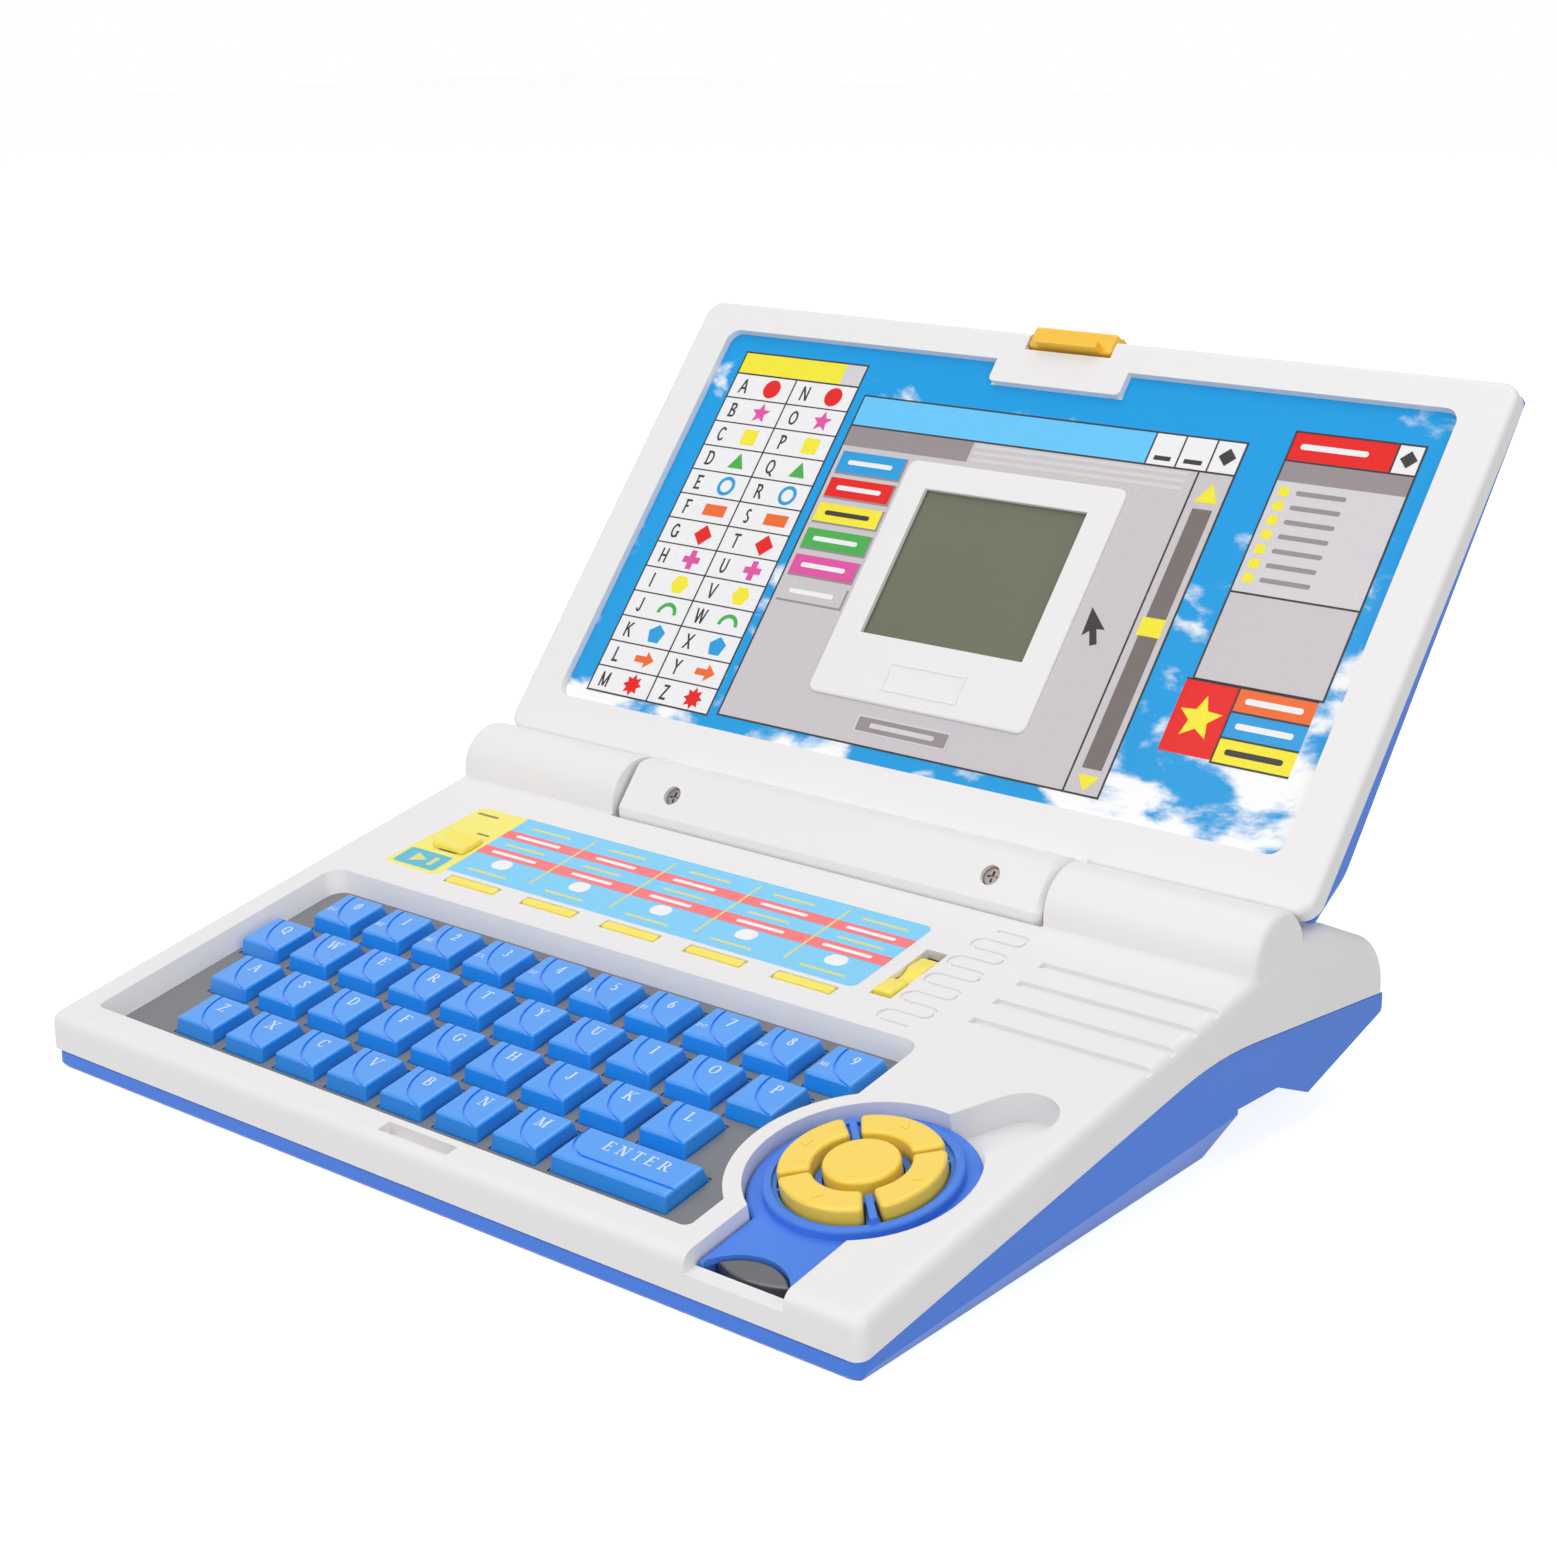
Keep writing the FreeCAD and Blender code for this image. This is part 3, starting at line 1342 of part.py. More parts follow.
def make_mouse_shell():
    top = ("-mouse_depth", "-mouse_drop")
    round_part = disc("mouse_disc", "mouse_radius", top)
    handle = brick("mouse_handle", middle("handle_width"), ("-handle_reach", "0"), top)
    solid = fuse("mouse_solid", [round_part, handle])
    upper = -value("mouse_drop")
    soft = rounded("mouse_soft", solid, "mouse_round", lambda b: near(b.ZMin, upper))
    collar_blank = disc("collar_blank", "collar_radius", ("-mouse_plate", "-mouse_drop + collar_height"))
    collar_edge = value("-mouse_drop + collar_height")
    collar = rounded("collar", collar_blank, "collar_round", lambda b: near(b.ZMin, collar_edge))
    collar_well = disc("collar_well", "collar_inner", ("-mouse_drop + collar_height - collar_sink", "wall"))
    inside = ("-mouse_floor", "-mouse_plate")
    hollow = disc("mouse_hollow", "mouse_radius - mouse_wall", inside)
    handle_hollow = brick(
        "handle_hollow", middle("handle_width - 2*mouse_wall"), ("-handle_reach - wall", "0"), inside
    )
    mouth = disc("mouth", "mouth_radius", ("-mouse_floor", "wall"), "0", "-mouth_reach")
    mouth_span = brick(
        "mouth_span", middle("handle_width - 2*mouse_wall"), ("-2*handle_reach", "0"),
        ("-mouse_floor", "wall"),
    )
    through = ("-mouse_floor", "wall")
    hole_inner = "arrow_inner - mouse_button_gap"
    hole_outer = "arrow_outer + mouse_button_gap"
    holes = [
        sector(f"arrow_hole_{name}", hole_inner, hole_outer, through, "0.7*arrow_gap_angle", turn)
        for name, turn in ARROWS
    ]
    ribs = []
    for name, turn in (("back", "135"), ("front", "-45")):
        bar = brick(
            f"arrow_rib_{name}_bar", ("arrow_inner", "collar_inner"), middle("arrow_rib"),
            ("-mouse_plate", "arrow_rib_top"),
        )
        ribs.append(place(group(f"arrow_rib_{name}", [bar]), turn=f"rotationz({turn})"))
    holes.append(disc("ok_hole", "ok_radius + mouse_button_gap", through))
    parting = brick(
        "parting", middle("4*mouse_radius"), middle("6*mouse_radius"),
        ("-mouse_parting", "-mouse_parting + fit/2"),
    )
    mouth_cut = common("mouth_cut", mouth, mouth_span)
    tools = [hollow, handle_hollow, mouth_cut, collar_well, parting] + holes
    both = cut("mouse_halves", fuse("mouse_collared", [soft, collar]), tools)
    label(on_deck(fuse("mouse_shell", [both] + ribs), "mouse_x", "mouse_v"), "mouse_shell")


def make_mouse_lens():
    """The lens lies under the handle's top and rises into its mouth."""
    centre = "-handle_reach + lens_radius + lens_inset"
    under = disc("lens_under", "lens_radius", ("-mouse_floor + fit", "-mouse_plate - fit"), "0", centre)
    face = "-mouse_drop - lens_sink"
    rise = disc("lens_rise", "mouth_radius - fit", ("-mouse_floor + fit", face), "0", "-mouth_reach")
    front = disc("lens_front", "lens_radius", ("-mouse_floor + fit", "wall"), "0", centre)
    crown = common("lens_crown", rise, front)
    blank = fuse("lens_blank", [under, crown])
    span = brick(
        "lens_span", middle("handle_width - 2*mouse_wall - 2*fit"),
        ("-2*handle_reach", "-handle_reach + lens_depth"), ("-mouse_depth", "0"),
    )
    trimmed = common("lens_trimmed", blank, span)
    high = value(face)
    lens = rounded("mouse_lens", trimmed, "lens_round", lambda b: near(b.ZMin, high))
    label(on_deck(lens, "mouse_x", "mouse_v"), "mouse_lens")


def make_arrow(name, turn):
    node = f"mouse_arrow_{name}"
    low = "-mouse_plate - fit - mouse_flange_thick"
    cap = sector(node + "_cap", "arrow_inner", "arrow_outer", (low, "arrow_proud"), "arrow_gap_angle")
    corners = rounded(node + "_corners", cap, "arrow_corner", upright)
    top = value("arrow_proud")
    soft = rounded(node + "_soft", corners, "arrow_round", lambda b: near(b.ZMin, top))
    flange = sector(
        node + "_flange", "arrow_inner", "arrow_outer + mouse_flange", (low, "-mouse_plate - fit"),
        "0.6*arrow_gap_angle",
    )
    mark = doc.addObject("Part::Prism", node + "_mark")
    mark.Polygon = 3
    mark.setExpression("Circumradius", formula("arrow_mark"))
    mark.setExpression("Height", formula("2*arrow_mark_rise"))
    place(mark, "arrow_mark_reach", "0", "arrow_proud - arrow_mark_rise")
    label(on_deck(fuse(node, [soft, flange, mark]), "mouse_x", "mouse_v", turn), node)


def make_ok_button():
    low = "-mouse_plate - fit - mouse_flange_thick"
    cap = disc("ok_cap", "ok_radius", (low, "ok_proud"))
    top = value("ok_proud")
    soft = rounded("ok_soft", cap, "arrow_round", lambda b: near(b.ZMin, top))
    flange = disc("ok_flange", "ok_radius + mouse_flange", (low, "-mouse_plate - fit"))
    label(on_deck(fuse("mouse_ok_button", [soft, flange]), "mouse_x", "mouse_v"), "mouse_ok_button")


def build():
    make_top_case()
    make_bottom_case()
    make_key_plate()
    make_inner_fittings()
    for spot in key_spots():
        make_key(*spot)
    for number in range(1, int(value("activity_count")) + 1):
        make_activity_button(number)
    make_mode_slider()
    make_power_rocker()
    make_lid_front()
    make_lid_back()
    make_lcd_panel()
    make_lid_latch()
    make_lid_screws()
    make_mouse_shell()
    make_mouse_lens()
    for name, turn in ARROWS:
        make_arrow(name, turn)
    make_ok_button()
    doc.recompute()


def check():
    for obj in doc.Objects:
        if "Invalid" in obj.State or "Error" in obj.State:
            raise RuntimeError(f"{obj.Name} failed: {obj.State}")
    for part in PARTS:
        if part.Shape.isNull() or not part.Shape.isValid():
            raise RuntimeError(f"{part.Label} has no valid shape")


def write():
    os.makedirs("parts", exist_ok=True)
    for part in PARTS:
        part.Shape.exportStep(f"parts/{part.Label}.step")
        solids = part.Shape.Solids
        print(part.Label, len(solids), round(part.Shape.Volume, 1))


build()
check()
write()
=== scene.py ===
"""Finishes, prints and studio for a child's toy laptop computer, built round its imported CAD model."""

import json
import math

import bmesh
import bpy
from mathutils import Matrix, Vector
from mathutils.geometry import delaunay_2d_cdt


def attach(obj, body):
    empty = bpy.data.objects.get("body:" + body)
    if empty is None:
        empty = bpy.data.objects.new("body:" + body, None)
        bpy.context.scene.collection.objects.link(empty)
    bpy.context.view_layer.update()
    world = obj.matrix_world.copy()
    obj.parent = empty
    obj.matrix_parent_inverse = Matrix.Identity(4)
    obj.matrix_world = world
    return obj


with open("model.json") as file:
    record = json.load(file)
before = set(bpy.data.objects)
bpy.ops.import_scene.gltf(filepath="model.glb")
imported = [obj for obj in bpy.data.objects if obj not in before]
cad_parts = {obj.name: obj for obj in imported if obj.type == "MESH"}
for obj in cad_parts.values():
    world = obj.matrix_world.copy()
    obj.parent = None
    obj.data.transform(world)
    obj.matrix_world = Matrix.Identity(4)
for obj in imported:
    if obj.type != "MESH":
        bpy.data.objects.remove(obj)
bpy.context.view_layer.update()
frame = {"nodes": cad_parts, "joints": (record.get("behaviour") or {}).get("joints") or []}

bl_info = {
    "name": "Toy Laptop Looks",
    "version": (1, 0, 0),
    "blender": (4, 5, 0),
    "location": "View3D > Sidebar > Toy Laptop",
    "description": "Finishes, prints and studio for the CAD model of a child's toy laptop",
    "category": "Object",
}

MM = 0.001

# The deck and the open lid as the CAD model has them, in millimetres and degrees.
DECK_ANGLE = math.radians(12)
DECK_FRONT = Vector((0, -100.25, 14))
LID_LEAN = math.radians(38.5)
LID_FOOT = Vector((-1.1, 11.7))
HINGE = Vector(next(j for j in frame["joints"] if j["name"] == "lid_fold")["pos_m"]) / MM

DECK_BACK = Vector((0, math.cos(DECK_ANGLE), math.sin(DECK_ANGLE)))
DECK_UP = Vector((0, -math.sin(DECK_ANGLE), math.cos(DECK_ANGLE)))
LID_UP = Vector((0, math.sin(LID_LEAN), math.cos(LID_LEAN)))
LID_OUT = Vector((0, -math.cos(LID_LEAN), math.sin(LID_LEAN)))
LID_ORIGIN = HINGE + LID_UP * LID_FOOT[1] + LID_OUT * LID_FOOT[0]


def deck(x, v, h=0.0):
    """A point on the deck: x to the right, v back from the front edge, h above, in millimetres."""
    return (DECK_FRONT + Vector((x, 0, 0)) + DECK_BACK * v + DECK_UP * h) * MM


def lid(x, s, h=0.0):
    """A point on the lid's front face: x to the right, s up from its lower edge, h out of it."""
    return (LID_ORIGIN + Vector((x, 0, 0)) + LID_UP * s + LID_OUT * h) * MM


# Finishes

def linear(code):
    """An sRGB hex colour as linear numbers."""
    parts = [int(code[i:i + 2], 16) / 255 for i in (0, 2, 4)]
    return tuple(p / 12.92 if p <= 0.04045 else ((p + 0.055) / 1.055) ** 2.4 for p in parts)


def add(tree, kind, settings=None, sockets=None):
    """Add a node, set what it is and fill its sockets with values or with other nodes' outputs."""
    node = tree.nodes.new(kind)
    for name, value in (settings or {}).items():
        setattr(node, name, value)
    for key, value in (sockets or {}).items():
        if isinstance(value, bpy.types.NodeSocket):
            tree.links.new(value, node.inputs[key])
        else:
            node.inputs[key].default_value = value
    return node


def new_material(name):
    """An empty node material and its tree."""
    material = bpy.data.materials.new(name)
    material.use_nodes = True
    material.node_tree.nodes.clear()
    return material, material.node_tree


def rgba(colour, shade=1.0):
    """A colour with alpha, made lighter or darker by the shade."""
    return tuple(min(1.0, c * shade) for c in colour) + (1.0,)


def moulded_plastic(name, colour, roughness, grain, depth, drift=0.05, coat=0.0, shine=0.5):
    """Moulded ABS: an even colour with a faint drift, and a fine grain from the spark-eroded mould."""
    material, tree = new_material(name)
    where = add(tree, "ShaderNodeTexCoord").outputs["Object"]
    cloud = add(tree, "ShaderNodeTexNoise", None, {"Vector": where, "Scale": 1 / (40 * MM), "Detail": 2.0})
    tint = add(tree, "ShaderNodeMix", {"data_type": "RGBA"}, {
        "Factor": cloud.outputs["Fac"], "A": rgba(colour, 1 - drift), "B": rgba(colour, 1 + drift),
    })
    grit = add(tree, "ShaderNodeTexNoise", None, {
        "Vector": where, "Scale": 1 / (grain * MM), "Detail": 3.0, "Roughness": 0.6,
    })
    gloss = add(tree, "ShaderNodeMapRange", None, {
        "Value": cloud.outputs["Fac"], "To Min": roughness - 0.05, "To Max": roughness + 0.05,
    })
    bump = add(tree, "ShaderNodeBump", None, {
        "Height": grit.outputs["Fac"], "Strength": 0.35, "Distance": depth * MM,
    })
    shader = add(tree, "ShaderNodeBsdfPrincipled", None, {
        "Base Color": tint.outputs["Result"], "Roughness": gloss.outputs["Result"],
        "Normal": bump.outputs["Normal"], "IOR": 1.54, "Specular IOR Level": shine,
        "Coat Weight": coat, "Coat Roughness": 0.12,
    })
    add(tree, "ShaderNodeOutputMaterial", None, {"Surface": shader.outputs["BSDF"]})
    return material


FILM_ROUGHNESS = 0.35


def film_over(tree, tint, roughness):
    """A printed colour under a thin clear film."""
    shader = add(tree, "ShaderNodeBsdfPrincipled", None, {
        "Base Color": tint.outputs["Result"], "Roughness": roughness, "IOR": 1.5, "Specular IOR Level": 0.2,
        "Coat Weight": 0.1, "Coat Roughness": 0.06,
    })
    add(tree, "ShaderNodeOutputMaterial", None, {"Surface": shader.outputs["BSDF"]})


def printed_ink(name, colour, roughness=FILM_ROUGHNESS):
    """Offset ink under a clear gloss film: an even colour with a dot screen, coarse enough to show."""
    material, tree = new_material(name)
    where = add(tree, "ShaderNodeTexCoord").outputs["Object"]
    screen = add(tree, "ShaderNodeTexVoronoi", None, {"Vector": where, "Scale": 1 / (0.7 * MM)})
    tint = add(tree, "ShaderNodeMix", {"data_type": "RGBA"}, {
        "Factor": screen.outputs["Distance"], "A": rgba(colour, 0.97), "B": rgba(colour, 1.04),
    })
    film_over(tree, tint, roughness)
    return material


def printed_sky(name, high, low, white):
    """The card's ground: a printed sky that pales towards the bottom, with soft white clouds."""
    material, tree = new_material(name)
    where = add(tree, "ShaderNodeTexCoord").outputs["Object"]
    flat = add(tree, "ShaderNodeMapping", None, {
        "Vector": where, "Rotation": (LID_LEAN - math.pi / 2, 0, 0),
        "Location": (0, -LID_ORIGIN.dot(LID_UP) * MM, 0),
    }).outputs["Vector"]
    height = add(tree, "ShaderNodeSeparateXYZ", None, {"Vector": flat}).outputs["Y"]
    fade = add(tree, "ShaderNodeMapRange", None, {
        "Value": height, "From Min": 20 * MM, "From Max": 120 * MM,
    })
    blue = add(tree, "ShaderNodeMix", {"data_type": "RGBA"}, {
        "Factor": fade.outputs["Result"], "A": rgba(low), "B": rgba(high),
    })
    squeezed = add(tree, "ShaderNodeMapping", None, {"Vector": flat, "Scale": (1, 1.7, 1)})
    puffs = add(tree, "ShaderNodeTexNoise", None, {
        "Vector": squeezed.outputs["Vector"], "Scale": 1 / (30 * MM), "Detail": 6.0, "Roughness": 0.55,
        "Distortion": 0.25,
    })
    lift = add(tree, "ShaderNodeMapRange", None, {
        "Value": height, "From Min": 15 * MM, "From Max": 130 * MM, "To Min": 0.04, "To Max": -0.13,
    })
    mass = add(tree, "ShaderNodeMath", {"operation": "ADD"}, {
        0: puffs.outputs["Fac"], 1: lift.outputs["Result"],
    })
    soft = add(tree, "ShaderNodeMapRange", {"interpolation_type": "SMOOTHSTEP"}, {
        "Value": mass.outputs["Value"], "From Min": 0.49, "From Max": 0.61,
    })
    tint = add(tree, "ShaderNodeMix", {"data_type": "RGBA"}, {
        "Factor": soft.outputs["Result"], "A": blue.outputs["Result"], "B": rgba(white),
    })
    film_over(tree, tint, FILM_ROUGHNESS)
    return material


def display_glass(name, colour):
    """An unlit reflective LCD: grey-green polariser film with a faint grid of dots under smooth glass."""
    material, tree = new_material(name)
    where = add(tree, "ShaderNodeTexCoord").outputs["Object"]
    dots = add(tree, "ShaderNodeTexChecker", None, {
        "Vector": where, "Scale": 1 / (0.9 * MM), "Color1": rgba(colour), "Color2": rgba(colour, 0.965),
    })
    drift = add(tree, "ShaderNodeTexNoise", None, {"Vector": where, "Scale": 1 / (60 * MM), "Detail": 0.0})
    tint = add(tree, "ShaderNodeMix", {"data_type": "RGBA", "blend_type": "MULTIPLY"}, {
        "Factor": drift.outputs["Fac"], "A": dots.outputs["Color"], "B": (0.8, 0.82, 0.78, 1.0),
    })
    shader = add(tree, "ShaderNodeBsdfPrincipled", None, {
        "Base Color": tint.outputs["Result"], "Roughness": 0.3, "IOR": 1.52, "Specular IOR Level": 0.3,
        "Coat Weight": 0.2, "Coat Roughness": 0.04,
    })
    add(tree, "ShaderNodeOutputMaterial", None, {"Surface": shader.outputs["BSDF"]})
    return material


def smoked_acrylic(name, colour):
    """Tinted clear acrylic over a dark inside: smooth, with a deep grey body and a sharp highlight."""
    material, tree = new_material(name)
    where = add(tree, "ShaderNodeTexCoord").outputs["Object"]
    drift = add(tree, "ShaderNodeTexNoise", None, {"Vector": where, "Scale": 1 / (9 * MM), "Detail": 1.0})
    tint = add(tree, "ShaderNodeMix", {"data_type": "RGBA"}, {
        "Factor": drift.outputs["Fac"], "A": rgba(colour, 0.7), "B": rgba(colour, 1.3),
    })
    shader = add(tree, "ShaderNodeBsdfPrincipled", None, {
        "Base Color": tint.outputs["Result"], "Roughness": 0.12, "IOR": 1.49,
        "Coat Weight": 0.6, "Coat Roughness": 0.03,
    })
    add(tree, "ShaderNodeOutputMaterial", None, {"Surface": shader.outputs["BSDF"]})
    return material


def plated_steel(name, colour):
    """Zinc-plated steel: a grey metal whose roughness and colour drift in small spangles."""
    material, tree = new_material(name)
    where = add(tree, "ShaderNodeTexCoord").outputs["Object"]
    spangle = add(tree, "ShaderNodeTexNoise", None, {"Vector": where, "Scale": 1 / (0.8 * MM), "Detail": 3.0})
    tint = add(tree, "ShaderNodeMix", {"data_type": "RGBA"}, {
        "Factor": spangle.outputs["Fac"], "A": rgba(colour, 0.8), "B": rgba(colour, 1.15),
    })
    gloss = add(tree, "ShaderNodeMapRange", None, {
        "Value": spangle.outputs["Fac"], "To Min": 0.3, "To Max": 0.5,
    })
    shader = add(tree, "ShaderNodeBsdfPrincipled", None, {
        "Base Color": tint.outputs["Result"], "Roughness": gloss.outputs["Result"], "Metallic": 1.0,
    })
    add(tree, "ShaderNodeOutputMaterial", None, {"Surface": shader.outputs["BSDF"]})
    return material


def inner_parts(name, dark, steel):
    """What the case holds: dark boards and cells, with the plated heads of the case screws at the bottom."""
    material, tree = new_material(name)
    where = add(tree, "ShaderNodeTexCoord").outputs["Object"]
    speck = add(tree, "ShaderNodeTexNoise", None, {"Vector": where, "Scale": 1 / (2 * MM), "Detail": 2.0})
    height = add(tree, "ShaderNodeSeparateXYZ", None, {"Vector": where}).outputs["Z"]
    low = add(tree, "ShaderNodeMath", {"operation": "LESS_THAN"}, {0: height, 1: 2.1 * MM})
    board = add(tree, "ShaderNodeMix", {"data_type": "RGBA"}, {
        "Factor": speck.outputs["Fac"], "A": rgba(dark, 0.8), "B": rgba(dark, 1.2),
    })
    tint = add(tree, "ShaderNodeMix", {"data_type": "RGBA"}, {
        "Factor": low.outputs["Value"], "A": board.outputs["Result"], "B": rgba(steel),
    })
    shader = add(tree, "ShaderNodeBsdfPrincipled", None, {
        "Base Color": tint.outputs["Result"], "Metallic": low.outputs["Value"], "Roughness": 0.4,
    })
    add(tree, "ShaderNodeOutputMaterial", None, {"Surface": shader.outputs["BSDF"]})
    return material


# The floor's glow to the eye and its real paleness, which together keep a faint shadow on a white ground
PAPER_GLOW = 0.8
PAPER_WHITE = 0.7


def seen_directly(tree):
    """One where the camera sees a surface, also by a reflection or through glass."""
    path = add(tree, "ShaderNodeLightPath")
    seen = add(tree, "ShaderNodeMath", {"operation": "MAXIMUM"}, {
        0: path.outputs["Is Camera Ray"], 1: path.outputs["Is Glossy Ray"],
    })
    shown = add(tree, "ShaderNodeMath", {"operation": "MAXIMUM"}, {
        0: seen.outputs["Value"], 1: path.outputs["Is Transmission Ray"],
    })
    return shown.outputs["Value"]


def studio_white(name):
    """The floor: white paper that keeps a soft part of the object's shadow."""
    material, tree = new_material(name)
    share = add(tree, "ShaderNodeMath", {"operation": "MULTIPLY"}, {0: seen_directly(tree), 1: PAPER_GLOW})
    paper = add(tree, "ShaderNodeBsdfDiffuse", None, {"Color": rgba((PAPER_WHITE,) * 3)})
    glow = add(tree, "ShaderNodeEmission", None, {"Color": (1, 1, 1, 1), "Strength": share.outputs["Value"]})
    both = add(tree, "ShaderNodeAddShader", None, {0: paper.outputs["BSDF"], 1: glow.outputs["Emission"]})
    add(tree, "ShaderNodeOutputMaterial", None, {"Surface": both.outputs["Shader"]})
    return material


def dress(material, nodes):
    """Give CAD nodes a finish."""
    for name in nodes:
        part = frame["nodes"][name]
        if part.material_slots:
            part.material_slots[0].material = material
        else:
            part.data.materials.append(material)


# Flat shapes, in millimetres

def bar(x0, x1, y0, y1):
    return [(x0, y0), (x1, y0), (x1, y1), (x0, y1)]


def pad(x0, x1, y0, y1, radius, steps=6):
    """A rectangle with round corners."""
    shape = []
    corners = ((x1 - radius, y0 + radius, 270), (x1 - radius, y1 - radius, 0),
               (x0 + radius, y1 - radius, 90), (x0 + radius, y0 + radius, 180))
    for cx, cy, start in corners:
        for i in range(steps + 1):
            turn = math.radians(start + 90 * i / steps)
            shape.append((cx + radius * math.cos(turn), cy + radius * math.sin(turn)))
    return shape


def ngon(cx, cy, radius, corners, start=90.0):
    turns = [math.radians(start + 360 * i / corners) for i in range(corners)]
    return [(cx + radius * math.cos(t), cy + radius * math.sin(t)) for t in turns]


def star(cx, cy, radius, points=5, waist=0.45):
    shape = []
    for i in range(2 * points):
        reach = radius if i % 2 == 0 else radius * waist
        turn = math.radians(90 + 180 * i / points)
        shape.append((cx + reach * math.cos(turn), cy + reach * math.sin(turn)))
    return shape


def frame_lines(x0, x1, y0, y1, line):
    """The four sides of a thin outline."""
    return [
        bar(x0, x1, y0, y0 + line), bar(x0, x1, y1 - line, y1),
        bar(x0, x0 + line, y0, y1), bar(x1 - line, x1, y0, y1),
    ]


def signed_area(shape):
    pairs = zip(shape, shape[1:] + shape[:1])
    return sum(a[0] * b[1] - b[0] * a[1] for a, b in pairs) / 2


def slab(bm, shapes, place, low, high, ink=0, holes=()):
    """A thin closed slab over the union of flat shapes, less the holes."""
    points, faces = [], []
    for shape in list(shapes) + list(holes):
        shape = list(shape) if signed_area(shape) > 0 else list(shape)[::-1]
        faces.append(list(range(len(points), len(points) + len(shape))))
        points += [Vector(p) for p in shape]
    count = len(shapes)
    spots, _, cells, _, _, origin = delaunay_2d_cdt(points, [], faces, 1, 1e-5, True)
    kept = []
    for cell, source in zip(cells, origin):
        if any(i < count for i in source) and not any(i >= count for i in source):
            kept.append(list(cell))
    used = sorted({i for cell in kept for i in cell})
    upper = {i: bm.verts.new(place(spots[i][0], spots[i][1], high)) for i in used}
    lower = {i: bm.verts.new(place(spots[i][0], spots[i][1], low)) for i in used}
    rim = set()
    for cell in kept:
        bm.faces.new([upper[i] for i in cell]).material_index = ink
        bm.faces.new([lower[i] for i in reversed(cell)]).material_index = ink
        for a, b in zip(cell, cell[1:] + cell[:1]):
            if (b, a) in rim:
                rim.remove((b, a))
            else:
                rim.add((a, b))
    for a, b in sorted(rim):
        bm.faces.new((lower[a], lower[b], upper[b], upper[a])).material_index = ink


def finish_piece(bm, name, body, materials):
    """Turn a built mesh into a piece that rides on a body."""
    mesh = bpy.data.meshes.new(name)
    bm.to_mesh(mesh)
    bm.free()
    for material in materials:
        mesh.materials.append(material)
    piece = bpy.data.objects.new(name, mesh)
    bpy.context.scene.collection.objects.link(piece)
    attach(piece, body)


